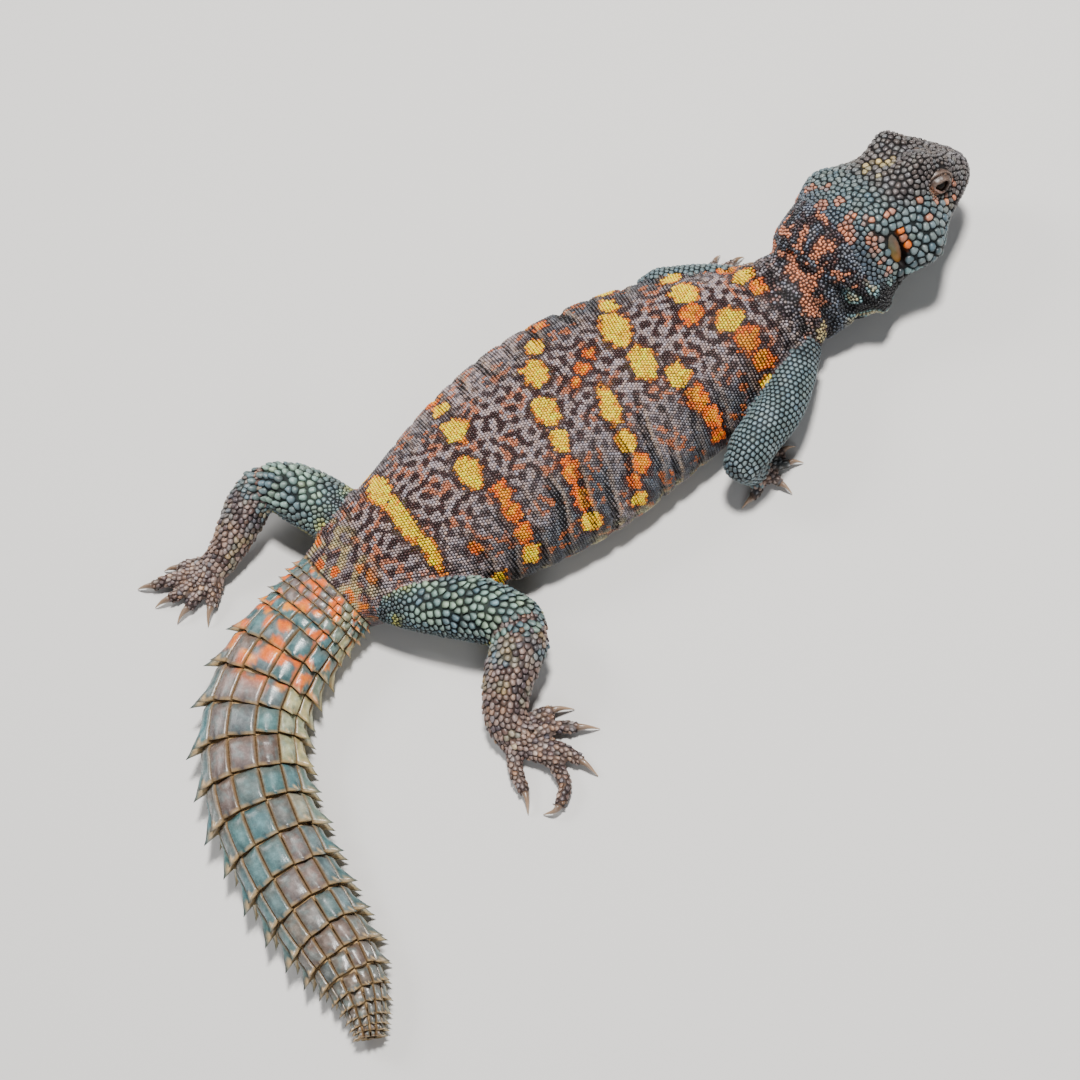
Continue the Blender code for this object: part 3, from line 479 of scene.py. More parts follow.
@dataclass
class TrunkForm:
    """The trunk and neck as one loft, with the folds of the loose skin."""

    top_squareness: float = 0.45
    fold_depth: float = 1.15
    fold_width: float = 0.60
    neck_widening: float = 1.6
    # where along the trunk a fold starts, how far it leans, and its depth beside the usual one
    flank_folds: tuple[tuple[float, float, float], ...] = (
        (30.5, 2.0, 0.8), (38.0, 1.5, 1.0), (46.0, 2.5, 0.8), (52.5, 3.5, 1.1), (57.5, 3.0, 1.3),
        (65.0, 4.5, 1.0), (71.0, 4.5, 1.2), (77.0, 4.5, 0.9), (84.0, 4.0, 1.0), (90.0, 3.5, 0.8),
        (97.0, 3.0, 0.9), (104.0, 1.0, 0.8),
    )
    neck_folds: tuple[tuple[float, float, float], ...] = (
        (3.0, 2.0, 1.4), (7.0, 1.0, 1.9), (11.5, 1.5, 1.3), (17.0, 2.5, 1.2), (22.5, 1.0, 0.9),
    )

    def __post_init__(self) -> None:
        """Makes the spine's curve from the head's last rings to the root of the tail."""
        head = HeadFrame()
        heads = Curve([row[0] for row in HEAD_RINGS], HEAD_RINGS)
        rows = []
        for forward in (4.0, -2.0, HEAD_RINGS[0][0]):
            _, half_width, top, middle, bottom = heads.at(min(forward, 1.0))[0]
            place = head.place(forward, 0.0, middle)
            rows.append((*place, half_width, top - middle, middle - bottom, 0.45, HEAD_ROLL))
        for i, ring in enumerate(TRUNK_RINGS):
            rows.append((*ring, HEAD_ROLL * NECK_ROLLS[i] if i < len(NECK_ROLLS) else 0.0))
        x, y, z, half_width, above, below = TAIL_RINGS[0]
        rows.append((x, y, z, half_width - 1.05, above - 1.05, below, 0.35, 0.0))
        self.curve = Curve.through(rows)
        self.start = float(self.curve.keys[2])
        self.end = float(self.curve.keys[-2])
        self.length = self.end - self.start
        self.neck = float(self.curve.keys[4]) - self.start

    def swell(self, places: Array, along: Array) -> Array:
        """How far the neck swells at some places, as the back of the head does beside it."""
        head = HeadFrame().coordinates(places)
        total = np.zeros(len(places))
        for amount, lone, place, spread in NAPE_SWELLS:
            side = np.maximum(head[:, 1], 0.0) if lone else np.abs(head[:, 1])
            near = np.stack([head[:, 0], side, head[:, 2]], axis=1) - np.array(place)
            total += amount * np.exp(-np.sum((near / np.array(spread)) ** 2, axis=1))
        return total * (1.0 - np.clip(along / self.neck, 0.0, 1.0) ** 2)

    def surface(self, along: Array, angle: Array, folded: bool = True) -> Array:
        """Places on the trunk.

        Args:
            along: millimetres from the back of the head.
            angle: round the trunk, from the right side through the top.
            folded: whether the folds are in it.

        Returns:
            One place in each row.
        """
        keys = along + self.start
        row = self.curve.at(keys)
        right, up = frame_across(self.curve.heading(keys), row[:, 7])
        square = np.where(np.sin(angle) > 0, row[:, 6] * self.top_squareness, row[:, 6])
        across = signed_power(np.cos(angle), 1 - 0.25 * square)
        height = signed_power(np.sin(angle), 1 - 0.30 * square)
        tall = np.where(height > 0, row[:, 4], row[:, 5])
        places = row[:, :3] + right * (row[:, 3] * across)[:, None] + up * (tall * height)[:, None]
        out = unit(right * (np.cos(angle) * tall)[:, None] + up * (np.sin(angle) * row[:, 3])[:, None])
        places = places + out * self.swell(places, along)[:, None]
        if folded:
            places = places - out * self.fold_relief(along, angle)[:, None]
        places[:, 2] = np.maximum(places[:, 2], 0.0)
        return places

    def fold_relief(self, along: Array, angle: Array) -> Array:
        """How deep the skin's folds lie at places of the trunk, in millimetres."""
        low = 1.0 - np.sin(angle)
        depth = np.zeros(len(along))
        for place, lean, share in self.flank_folds:
            middle = place + lean * low + 0.9 * np.sin(3.1 * angle + place)
            middle = middle + 0.5 * np.sin(7.3 * angle + 2 * place)
            reach = smoothstep(0.02, 0.26, low) * smoothstep(1.75, 1.3, low)
            reach = reach * (0.35 + 0.65 * (0.5 + 0.5 * np.sin(4.0 * angle + 1.7 * place)))
            depth += share * reach * bell(along, middle, self.fold_width)
        for place, lean, share in self.neck_folds:
            middle = place + lean * low + 0.8 * np.sin(2.7 * angle + place)
            reach = 0.25 + 0.75 * smoothstep(0.02, 0.5, low)
            depth += share * reach * bell(along, middle, self.fold_width * self.neck_widening)
        return depth * self.fold_depth

    def rings(self, step: float, columns: int, ahead: float, behind: float) -> Array:
        """Rings of the folded trunk, from ahead of its start to behind its end."""
        keys = np.arange(-ahead, self.length + behind, step)
        return self.surface(*every_pair(keys, full_turn(columns))).reshape(len(keys), columns, 3)

    def girth(self, along: float, angles: Array) -> Array:
        """The way travelled round the unfolded trunk at one place along it, at some angles."""
        return travelled(self.surface(np.full(len(angles), along), angles, folded=False))


@dataclass
class TailForm:
    """The tail's core and the places of its whorls."""

    scutes_round: int = 13
    inset: float = 1.3
    ridge: float = 0.75
    ridge_width: float = 0.55

    def __post_init__(self) -> None:
        """Makes the tail's curve and the keys where its whorls start."""
        rows = [row[:6] for row in TRUNK_RINGS[-2:] + TAIL_RINGS]
        self.curve = Curve.through(rows)
        self.start = float(self.curve.keys[1])
        self.starts = self.start + np.concatenate(([0.0], np.cumsum(WHORLS)))

    def surface(self, keys: Array, angle: Array, swell: Array | float = 0.0) -> Array:
        """Places on the tail, moved out by a swelling, and never under the floor."""
        row = self.curve.at(keys)
        right, up = frame_across(self.curve.heading(keys))
        tall = np.where(np.sin(angle) > 0, row[:, 4], row[:, 5])
        places = row[:, :3] + right * (row[:, 3] * signed_power(np.cos(angle), 0.92))[:, None]
        places = places + up * (tall * signed_power(np.sin(angle), 0.90))[:, None]
        places = places + self.outward(keys, angle) * np.reshape(swell, (-1, 1))
        places[:, 2] = np.maximum(places[:, 2], 0.0)
        return places

    @staticmethod
    def armoured(angle: Array) -> Array:
        """How much armour the tail carries at some angles: all of it but on the underside."""
        return 1.0 - smoothstep(0.30, 0.85, -np.sin(angle))

    def slimness(self, keys: Array) -> Array:
        """How much of the armour's thickness is left at some keys, less where the tail ends."""
        return np.clip(self.curve.at(keys)[:, 3] / 3.0, 0.12, 1.0)

    def outward(self, keys: Array, angle: Array) -> Array:
        """Directions out of the tail at some keys and angles."""
        row = self.curve.at(keys)
        right, up = frame_across(self.curve.heading(keys))
        tall = np.where(np.sin(angle) > 0, row[:, 4], row[:, 5])
        return unit(right * (np.cos(angle) * tall)[:, None] + up * (np.sin(angle) * row[:, 3])[:, None])

    def rings(self, columns: int) -> Array:
        """Rings of the core, which lies under the scutes and has a fold of skin between the whorls."""
        keys = np.arange(self.start - 3.0, self.starts[-1] + 0.3, 0.4)
        along, angle = every_pair(keys, full_turn(columns))
        nearest = np.abs(along[:, None] - self.starts[None]).min(axis=1)
        armour = self.armoured(angle) * smoothstep(self.start - 3.0, self.start + 0.5, along)
        raised = self.ridge * bell(nearest, 0.0, self.ridge_width) - self.inset * 0.8
        places = self.surface(along, angle, raised * armour * self.slimness(along))
        middle = self.curve.at(along)[:, :3]
        taper = np.sqrt(1.0 - np.clip((along - keys[-1] + 1.6) / 1.65, 0.0, 1.0) ** 2)
        return (middle + (places - middle) * taper[:, None]).reshape(len(keys), columns, 3)


@dataclass
class LimbForm:
    """A rounded length of limb or toe through its stations."""

    name: str
    stations: tuple[tuple[float, ...], ...]

    def __post_init__(self) -> None:
        """Makes the curve and a side direction that turns smoothly along it."""
        self.curve = Curve.through(self.stations)
        self.length = float(self.curve.keys[-1])
        self.keys = np.linspace(0.0, self.length, 40)
        headings = self.curve.heading(self.keys)
        helper = UP if abs(headings[0][2]) < 0.8 else np.array((1.0, 0.0, 0.0))
        side = unit(np.cross(headings[0], helper))
        sides = []
        for heading in headings:
            side = unit(side - heading * np.dot(side, heading))
            sides.append(side)
        self.sides = np.array(sides)

    def surface(self, keys: Array, angle: Array) -> Array:
        """Places on the limb at some keys and angles."""
        row = self.curve.at(keys)
        heading = self.curve.heading(keys)
        side = np.stack([np.interp(keys, self.keys, self.sides[:, i]) for i in range(3)], axis=1)
        side = square_to(side, heading)
        up = np.cross(side, heading)
        places = row[:, :3] + side * (row[:, 3] * np.cos(angle))[:, None]
        places = places + up * (row[:, 4] * np.sin(angle))[:, None]
        places[:, 2] = np.maximum(places[:, 2], 0.0)
        return places

    def rings(self, columns: int) -> Array:
        """Rings of the whole length."""
        keys = np.linspace(0.0, self.length, 30)
        return self.surface(*every_pair(keys, full_turn(columns))).reshape(len(keys), columns, 3)


LIMBS = {
    "thigh_right": (
        (9.0, 36.0, 9.0, 6.6, 5.8), (0.4, 28.4, 9.8, 7.0, 6.3),
        (-6.9, 20.7, 10.4, 7.1, 6.5), (-13.6, 14.8, 10.6, 6.5, 6.1),
        (-18.2, 12.0, 10.6, 5.4, 5.3), (-21.0, 10.6, 10.6, 3.2, 3.2),
    ),
    "shank_right": (
        (-16.4, 10.2, 11.0, 3.4, 3.4), (-19.0, 13.2, 10.8, 5.6, 5.4),
        (-23.0, 18.4, 9.2, 5.8, 5.3), (-27.8, 23.2, 6.8, 5.1, 4.5),
        (-32.2, 25.7, 4.6, 4.3, 3.6), (-36.3, 24.6, 3.2, 4.2, 2.8),
    ),
    "thigh_left": (
        (22.0, 31.5, 9.0, 6.8, 6.0), (29.0, 35.3, 9.8, 7.1, 6.4),
        (36.5, 39.4, 10.6, 7.0, 6.4), (42.2, 43.4, 11.0, 6.0, 5.8),
        (45.6, 47.2, 10.8, 4.4, 4.6), (47.0, 49.4, 10.6, 2.6, 2.8),
    ),
    "shank_left": (
        (46.6, 43.6, 11.2, 2.8, 3.0), (45.2, 48.0, 10.8, 4.8, 4.8),
        (43.0, 53.0, 9.2, 5.2, 4.8), (40.4, 58.4, 6.6, 4.6, 4.2),
        (38.2, 63.4, 4.4, 3.9, 3.4), (38.0, 67.2, 3.0, 3.9, 2.7),
    ),
    "upper_arm_right": (
        (8.0, -70.0, 10.5, 5.0, 4.8), (2.0, -64.4, 11.2, 5.3, 5.0),
        (-3.2, -58.8, 11.8, 5.3, 5.2), (-7.0, -51.4, 12.4, 5.2, 5.2),
        (-9.6, -45.9, 12.2, 4.6, 4.6), (-10.6, -42.9, 12.0, 2.4, 2.6),
    ),
    "forearm_right": (
        (-9.4, -44.6, 15.0, 2.4, 2.4), (-9.8, -45.2, 12.0, 4.5, 4.5),
        (-9.9, -46.0, 8.8, 4.2, 4.2), (-9.8, -46.8, 5.4, 3.6, 3.4),
        (-9.8, -48.2, 2.4, 3.2, 2.6),
    ),
    "upper_arm_left": (
        (24.0, -70.0, 10.2, 5.0, 4.8), (28.6, -65.4, 11.0, 5.2, 5.0),
        (32.8, -60.4, 11.4, 5.1, 5.0), (36.6, -54.6, 11.4, 4.8, 4.8),
        (39.2, -50.4, 11.2, 4.2, 4.2), (40.4, -48.0, 11.0, 2.2, 2.4),
    ),
    "forearm_left": (
        (40.2, -47.8, 12.6, 2.4, 2.4), (39.4, -50.4, 10.8, 4.2, 4.2),
        (38.8, -54.8, 8.2, 4.1, 3.9), (38.2, -59.6, 5.2, 3.5, 3.3),
        (37.8, -62.8, 2.8, 3.3, 2.6),
    ),
}
# a toe: points from its root to its end, then which way its claw points, in degrees
FOOT_RIGHT_TOES = (
    (((-33.5, 22.6, 2.8), (-32.8, 18.6, 2.2), (-33.4, 15.6, 1.8)), -115.0),
    (((-35.6, 22.8, 2.8), (-36.8, 17.6, 2.2), (-39.6, 12.8, 1.7)), -120.0),
    (((-37.0, 23.8, 2.8), (-42.0, 18.4, 2.4), (-46.6, 15.8, 1.6)), -165.0),
    (((-37.6, 25.4, 2.8), (-44.2, 21.0, 2.5), (-49.6, 21.6, 2.0), (-52.6, 24.8, 1.5)), 62.0),
    (((-36.4, 26.8, 2.8), (-41.6, 28.9, 2.2), (-46.4, 29.3, 1.5)), 150.0),
)
FOOT_LEFT_TOES = (
    (((35.6, 66.4, 2.8), (32.6, 68.6, 2.2), (30.0, 70.8, 1.7)), 140.0),
    (((36.4, 67.6, 2.8), (34.4, 71.8, 2.3), (33.0, 75.6, 1.6)), 110.0),
    (((37.6, 68.4, 2.8), (37.2, 73.6, 2.4), (37.6, 78.4, 1.6)), 80.0),
    (((38.8, 68.2, 2.8), (40.4, 73.2, 2.4), (42.0, 77.6, 2.0), (43.0, 80.6, 1.5)), 60.0),
    (((39.6, 66.8, 2.8), (42.0, 70.2, 2.2), (43.6, 73.4, 1.6)), 60.0),
)
HAND_RIGHT_TOES = (
    (((-8.0, -48.6, 2.2), (-6.0, -50.6, 1.8), (-4.6, -52.8, 1.4)), -60.0),
    (((-8.8, -49.6, 2.2), (-7.8, -52.8, 1.9), (-7.4, -55.8, 1.4)), -95.0),
    (((-9.8, -49.8, 2.2), (-10.2, -52.8, 1.9), (-10.8, -55.4, 1.4)), -115.0),
    (((-10.8, -48.8, 2.2), (-12.6, -50.4, 1.9), (-14.4, -51.2, 1.4)), -165.0),
    (((-11.2, -47.4, 2.2), (-12.8, -45.8, 1.8), (-13.6, -43.8, 1.4)), 95.0),
)
HAND_LEFT_TOES = (
    (((36.2, -64.6, 2.2), (34.4, -67.2, 1.8), (33.6, -69.8, 1.4)), -110.0),
    (((37.0, -65.8, 2.2), (36.0, -69.2, 1.9), (35.4, -72.4, 1.4)), -105.0),
    (((38.0, -66.0, 2.2), (38.0, -69.6, 1.9), (37.8, -73.0, 1.4)), -90.0),
    (((39.0, -65.2, 2.2), (40.0, -68.4, 1.9), (40.6, -71.2, 1.4)), -80.0),
    (((39.6, -63.8, 2.2), (41.8, -65.6, 1.8), (43.2, -67.4, 1.4)), -55.0),
)
FLESH_FROM_FRAME = ("head", "jaw")
FLESH = FLESH_FROM_FRAME + tuple(LIMBS)
FLESH += ("hand_right", "hand_left", "foot_right", "foot_left", "neck", "torso")


@dataclass
class Skin:
    """One closed skin under all the scales, made by joining every form and remeshing the whole."""

    trunk: TrunkForm
    tail: TailForm
    limbs: list[tuple[Region, LimbForm]]
    voxel: float = 0.5
    overlap: float = 0.2
    depth: float = 0.42
    triangles: int = 190000
    smoothing: int = 4
    smoothing_steps: tuple[float, float] = (0.60, -0.52)
    cup_size: tuple[float, float] = (1.55, 4.7)
    cup_floor: float = 12.4
    cup_edge: float = 1.12
    neck_bend: tuple[float, float, float] = (28.7, -76.6, 19.0)
    bend_reach: float = 4.5
    bend_smoothing: int = 40
    lowest: float = 0.02

    def build(self) -> bpy.types.Object:
        """Makes the skin's object, without its material."""
        body = make_object("body", mesh_of("body", *loft(self.trunk.rings(0.7, 170, 3.5, 2.0))))
        tail = make_object("tail_core", mesh_of("tail_core", *loft(self.tail.rings(90))))
        copies = [body, tail]
        for _, limb in self.limbs:
            copies.append(make_object(limb.name + "_form", mesh_of("form", *loft(limb.rings(36)))))
        for name in FLESH_FROM_FRAME:
            copies.append(make_object(name + "_copy", self.swollen(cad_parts[name].data, self.overlap)))
        joined = bmesh.new()
        for copy in copies:
            joined.from_mesh(copy.data)
        whole = bpy.data.meshes.new("skin")
        joined.to_mesh(whole)
        joined.free()
        for copy in copies:
            bpy.data.objects.remove(copy)
        skin = make_object("skin", whole)
        remesh = skin.modifiers.new("remesh", "REMESH")
        remesh.mode = "VOXEL"
        remesh.voxel_size = self.voxel * MM
        skin.data = applied(skin)
        self.relax(skin.data)
        skin.data.calc_loop_triangles()
        thin = skin.modifiers.new("thin", "DECIMATE")
        thin.ratio = min(1.0, self.triangles / len(skin.data.loop_triangles))
        skin.data = applied(skin)
        skin.data.shade_smooth()
        return skin

    def swollen(self, source: bpy.types.Mesh, grow: float) -> bpy.types.Mesh:
        """A welded copy of a solid, grown so that it overlaps its neighbours."""
        form = bmesh.new()
        form.from_mesh(source)
        bmesh.ops.remove_doubles(form, verts=form.verts, dist=1e-6)
        bmesh.ops.recalc_face_normals(form, faces=form.faces)
        for vertex in form.verts:
            vertex.co += vertex.normal * grow * MM
        mesh = bpy.data.meshes.new("copy")
        form.to_mesh(mesh)
        form.free()
        return mesh

    def relax(self, mesh: bpy.types.Mesh) -> None:
        """Smooths the remeshed skin and lets it down by the depth of the scales."""
        places = point_places(mesh)
        edges = np.empty(len(mesh.edges) * 2, np.int32)
        mesh.edges.foreach_get("vertices", edges)
        edges = edges.reshape(-1, 2)
        for turn in range(2 * self.smoothing):
            places = places + self.smoothing_steps[turn % 2] * (self.means(places, edges) - places)
        near = np.sum(((places - np.array(self.neck_bend)) / self.bend_reach) ** 2, axis=1)
        bend = 0.5 * np.exp(-near)[:, None]
        for _ in range(self.bend_smoothing):
            places = places + bend * (self.means(places, edges) - places)
        move_points(mesh, places)
        places = self.hollowed(places - point_normals(mesh) * self.depth)
        places[:, 2] = np.maximum(places[:, 2], self.lowest)
        move_points(mesh, places)

    @staticmethod
    def means(places: Array, edges: Array) -> Array:
        """For each point the mean of its neighbours.

        Args:
            places: the points.
            edges: pairs of neighbours.

        Returns:
            One place for each point.
        """
        count = np.bincount(edges.ravel(), minlength=len(places))[:, None]
        total = np.zeros_like(places)
        for axis in range(3):
            total[:, axis] = np.bincount(edges[:, 0], places[edges[:, 1], axis], len(places))
            total[:, axis] += np.bincount(edges[:, 1], places[edges[:, 0], axis], len(places))
        return total / np.maximum(count, 1)

    def hollowed(self, places: Array) -> Array:
        """Places of the skin with the cups of the ears pressed in."""
        head = HeadFrame().coordinates(places)
        side = np.abs(head[:, 1])
        reach = ear_reach(head, self.cup_size)
        level = self.cup_floor + 6.0 * smoothstep(0.80, self.cup_edge, reach)
        over = np.maximum(side - level, 0.0) * (reach < self.cup_edge) * (side > HEAD_CORE)
        return places - (np.sign(head[:, 1]) * over)[:, None] * HeadFrame().axes()[1]


class Ground:
    """Finds the nearest place of the skin under any point."""

    def __init__(self, skin: bpy.types.Object) -> None:
        """Keeps a search tree of the skin's triangles.

        Args:
            skin: the finished skin.
        """
        mesh = skin.data
        mesh.calc_loop_triangles()
        corners = np.empty(len(mesh.loop_triangles) * 3, np.int32)
        mesh.loop_triangles.foreach_get("vertices", corners)
        self.corners = corners.reshape(-1, 3)
        self.places = point_places(mesh)
        self.normals = point_normals(mesh)
        self.tree = BVHTree.FromPolygons(self.places.tolist(), self.corners.tolist())

    def under(self, points: Array) -> tuple[Array, Array, Array]:
        """The skin nearest to some points.

        Args:
            points: places in millimetres.

        Returns:
            The skin's places, its normals there and the distances to it.
        """
        places = np.empty_like(points)
        index = np.empty(len(points), int)
        far = np.empty(len(points))
        for i, point in enumerate(points):
            found, _, index[i], far[i] = self.tree.find_nearest(Vector(point))
            places[i] = found
        return places, unit(self.normals[self.corners[index]].mean(axis=1)), far


class Region(Enum):
    """The parts of the body that carry different scales."""

    TRUNK = 0
    TAIL = 1
    HEAD = 2
    ARM = 3
    LEG = 4
    SHANK = 5
    FOOT = 6
    HAND = 7


@dataclass
class Roots:
    """Places where scales grow, with all that a scale takes from its place."""

    place: Array
    out: Array
    way: Array
    size: Array
    along: Array
    angle: Array
    chart: Array
    tint: Array | None = None
    height: Array | None = None
    lean: Array | None = None

    def pick(self, chosen: Array) -> Roots:
        """Only some of the roots, by index or by a mask."""
        values = {}
        for name, value in vars(self).items():
            values[name] = None if value is None else value[chosen]
        return Roots(**values)

    @staticmethod
    def joined(groups: list[Roots]) -> Roots:
        """All roots of several groups."""
        values = {}
        for name in vars(groups[0]):
            parts = [getattr(group, name) for group in groups]
            values[name] = None if parts[0] is None else np.concatenate(parts)
        return Roots(**values)


def chart_of(share: Array, angle: Array, slot: int = 0, slots: int = 1) -> Array:
    """Places on the unit square for points of one form, each form having a strip of its own.

    Args:
        share: how far along the form, from 0 to 1.
        angle: round the form.
        slot: which strip.
        slots: how many strips there are.

    Returns:
        Two values in each row.
    """
    chart_u = (slot + 0.02 + 0.96 * np.clip(share, 0, 1)) / slots
    return np.stack([chart_u, turn_share(angle)], axis=1)


class Atlas:
    """Tells which part of the body a place on the skin belongs to, and where on it."""

    def __init__(self, trunk: TrunkForm, tail: TailForm, limbs: list[tuple[Region, LimbForm]]) -> None:
        """Samples every form densely.

        Args:
            trunk: the trunk's form.
            tail: the tail's form.
            limbs: the limbs and toes with their regions.
        """
        self.rows: list[Array] = []
        self.places: list[Array] = []
        turns = np.linspace(0, 2 * math.pi, 200, endpoint=False)
        along, angle = every_pair(np.arange(-0.5, trunk.length, 0.7), turns)
        body = trunk.surface(along, angle)
        self.add(Region.TRUNK, 0, 1, trunk.length, along, angle, body)
        outward = body - trunk.curve.at(along + trunk.start)[:, :3]
        body_tree = tree_of(body)
        along, angle = every_pair(np.arange(tail.start, tail.starts[-1], 0.7), turns[::2])
        places = tail.surface(along, angle, -tail.inset)
        self.add(Region.TAIL, 0, 1, tail.starts[-1] - tail.start, along - tail.start, angle, places)
        counts = {region: sum(1 for other, _ in limbs if other is region) for region, _ in limbs}
        used = dict.fromkeys(counts, 0)
        for region, limb in limbs:
            along, angle = every_pair(np.arange(0.2, limb.length - 0.2, 0.5), turns[::5])
            places = limb.surface(along, angle)
            near = nearest_in(body_tree, places)
            free = np.sum((places - body[near]) * unit(outward[near]), axis=1) > 0.5
            self.add(region, used[region], counts[region], limb.length, along[free], angle[free],
                     places[free])
            used[region] += 1
        self.data = np.concatenate(self.rows)
        self.tree = tree_of(np.concatenate(self.places))

    def add(self, region: Region, slot: int, slots: int, length: float, along: Array, angle: Array,
            places: Array) -> None:
        """Adds the samples of one form, whose chart is one strip of the unit square."""
        columns = [np.full(len(along), region.value), along, angle]
        columns += [*chart_of(along / length, angle, slot, slots).T, np.full(len(along), slot)]
        self.rows.append(np.stack(columns, axis=1))
        self.places.append(places)

    def look(self, places: Array) -> Array:
        """Region, way along, angle, chart and slot of the samples nearest to some places."""
        rows = self.data[nearest_in(self.tree, places)].copy()
        head = HeadFrame().coordinates(places)
        on_head = (head[:, 0] > -8.0) & (np.abs(head[:, 1]) < 20.0) & (head[:, 2] > -19.0)
        rows[on_head, 0] = Region.HEAD.value
        rows[on_head, 1] = head[on_head, 0]
        angle = np.arctan2(head[on_head, 2] + 3.0, head[on_head, 1])
        rows[on_head, 2] = angle
        rows[on_head, 3] = (head[on_head, 0] + 9.0) / 38.0
        rows[on_head, 4] = turn_share(angle)
        return rows

    def among(self, rows: Array, *regions: Region) -> Array:
        """Which rows belong to one of some regions."""
        return np.isin(rows[:, 0].astype(int), [region.value for region in regions])


@dataclass
class Settler:
    """Sets scale roots on the skin."""

    ground: Ground
    atlas: Atlas
    chance: np.random.Generator
    # how far apart rows stand beside the pitch in them, and where the belly starts, in degrees
    row_share: float = 0.89
    belly_edge: float = -38.0

    def trunk_rows(
        self, trunk: TrunkForm, start: float, pitch: float, belly_pitch: float
    ) -> tuple[Roots, Roots]:
        """Rows of granules across the back and flanks, and of larger scales across the belly."""
        fine = np.linspace(-math.pi / 2, 1.5 * math.pi, 361)
        groups: list[list[Array]] = [[], []]
        for belly, step in ((0, pitch), (1, belly_pitch)):
            rows = np.arange(start, trunk.length - 0.2, step * self.row_share)
            for number, along in enumerate(rows):
                reach = trunk.girth(along, fine)
                middle = reach[len(fine) // 2]
                half = middle - np.interp(math.radians(self.belly_edge), fine, reach)
                shift = 0.5 * (number % 2)
                low, high = (-half, half) if not belly else (half, reach[-1] - half)
                across = (np.arange(math.ceil(low / step), math.floor(high / step)) + shift) * step
                across = across + self.chance.uniform(-0.07, 0.07, len(across)) * step
                spot = (middle - across) % reach[-1] if belly else middle - across
                angle = np.interp(spot, reach, fine)
                offset = along + self.chance.uniform(-0.05, 0.05, len(across)) * step
                groups[belly].append(np.stack([offset, angle, across], axis=1))
        results = []
        for belly, step in ((0, pitch), (1, belly_pitch)):
            rows = np.concatenate(groups[belly])
            places = trunk.surface(rows[:, 0], rows[:, 1])
            ahead = trunk.surface(rows[:, 0] + 0.3, rows[:, 1], folded=False)
            behind = trunk.surface(rows[:, 0] - 0.3, rows[:, 1], folded=False)
            chart = chart_of(rows[:, 0] / trunk.length, rows[:, 1])
            own = np.concatenate([rows[:, :2], chart], axis=1)
            size = np.full(len(rows), step)
            results.append(self.settled(places, ahead - behind, size, 1.6, Region.TRUNK, own))
        return results[0], results[1]

    def limb_rows(self, limb: LimbForm, pitch: float, region: Region, slot: int, slots: int) -> Roots:
        """Rows of scales round one length of limb, which has one strip of the region's chart."""
        fine = np.linspace(0, 2 * math.pi, 121)
        rows = []
        for number, along in enumerate(np.arange(0.2, limb.length, pitch * 0.87)):
            reach = travelled(limb.surface(np.full(len(fine), along), fine))
            count = max(int(round(reach[-1] / pitch)), 5)
            turns = (np.arange(count) + 0.5 * (number % 2) + self.chance.uniform(-0.08, 0.08, count)) / count
            angle = np.interp(turns % 1.0 * reach[-1], reach, fine)
            rows.append(np.stack([np.full(count, along), angle], axis=1))
        rows = np.concatenate(rows)
        rows[:, 0] += self.chance.uniform(-0.06, 0.06, len(rows)) * pitch
        places = limb.surface(rows[:, 0], rows[:, 1])
        ahead = limb.surface(rows[:, 0] + 0.3, rows[:, 1]) - limb.surface(rows[:, 0] - 0.3, rows[:, 1])
        own = np.concatenate([rows, chart_of(rows[:, 0] / limb.length, rows[:, 1], slot, slots)], axis=1)
        return self.settled(places, ahead, np.full(len(rows), pitch), 1.3, region, own)

    def settled(self, places: Array, way: Array, size: Array, reach: float, region: Region,
                own: Array) -> Roots:
        """Roots moved to the skin, where it is near and belongs to a region."""
        ground, out, far = self.ground.under(places)
        kept = (far < reach) & self.atlas.among(self.atlas.look(ground), region)
        way = square_to(way, out)
        return Roots(ground, out, way, size, own[:, 0], own[:, 1], own[:, 2:4]).pick(kept)

    def scattered(self, region: Region, spacing: Rule, way: Rule, share: float = 0.86, rounds: int = 2,
                  end: float = 1e9) -> Roots:
        """Roots spread evenly at random, each as far from the next as the spacing there says.

        Args:
            region: the part of the body they cover.
            spacing: function of places, normals and atlas rows that gives distances in millimetres.
            way: function of the same that gives the direction a scale points in.
            share: how much closer than the spacing two roots may start.
            rounds: how often the roots are evened out.
            end: how far along the part they go.

        Returns:
            The roots.
        """
        corners = self.ground.places[self.ground.corners]
        middles = corners.mean(axis=1)
        rows = self.atlas.look(middles)
        chosen = self.atlas.among(rows, region) & (rows[:, 1] < end)
        corners, middles, rows = corners[chosen], middles[chosen], rows[chosen]
        across = np.cross(corners[:, 1] - corners[:, 0], corners[:, 2] - corners[:, 0])
        area = np.linalg.norm(across, axis=1) / 2
        gaps = spacing(middles, unit(across), rows)
        weight = area / gaps**2
        count = int(14 * weight.sum()) + 50
        index = self.chance.choice(len(area), count, p=weight / weight.sum())
        a, b = self.chance.random((2, count))
        over = a + b > 1
        a[over], b[over] = 1 - a[over], 1 - b[over]
        samples = corners[index, 0] + (corners[index, 1] - corners[index, 0]) * a[:, None]
        samples += (corners[index, 2] - corners[index, 0]) * b[:, None]
        near = gaps[index]
        seeds = self.darts(samples, near * share)
        places = samples[seeds]
        for _ in range(rounds):
            owner = nearest_in(tree_of(places), samples)
            total = np.stack([np.bincount(owner, samples[:, k], len(places)) for k in range(3)], axis=1)
            held = np.maximum(np.bincount(owner, minlength=len(places)), 1)[:, None]
            places = np.where(held > 2, total / held, places)
        ground, out, _ = self.ground.under(places)
        rows = self.atlas.look(ground)
        size = spacing(ground, out, rows)
        return self.rooted(ground, out, way(ground, out, rows), size, rows)

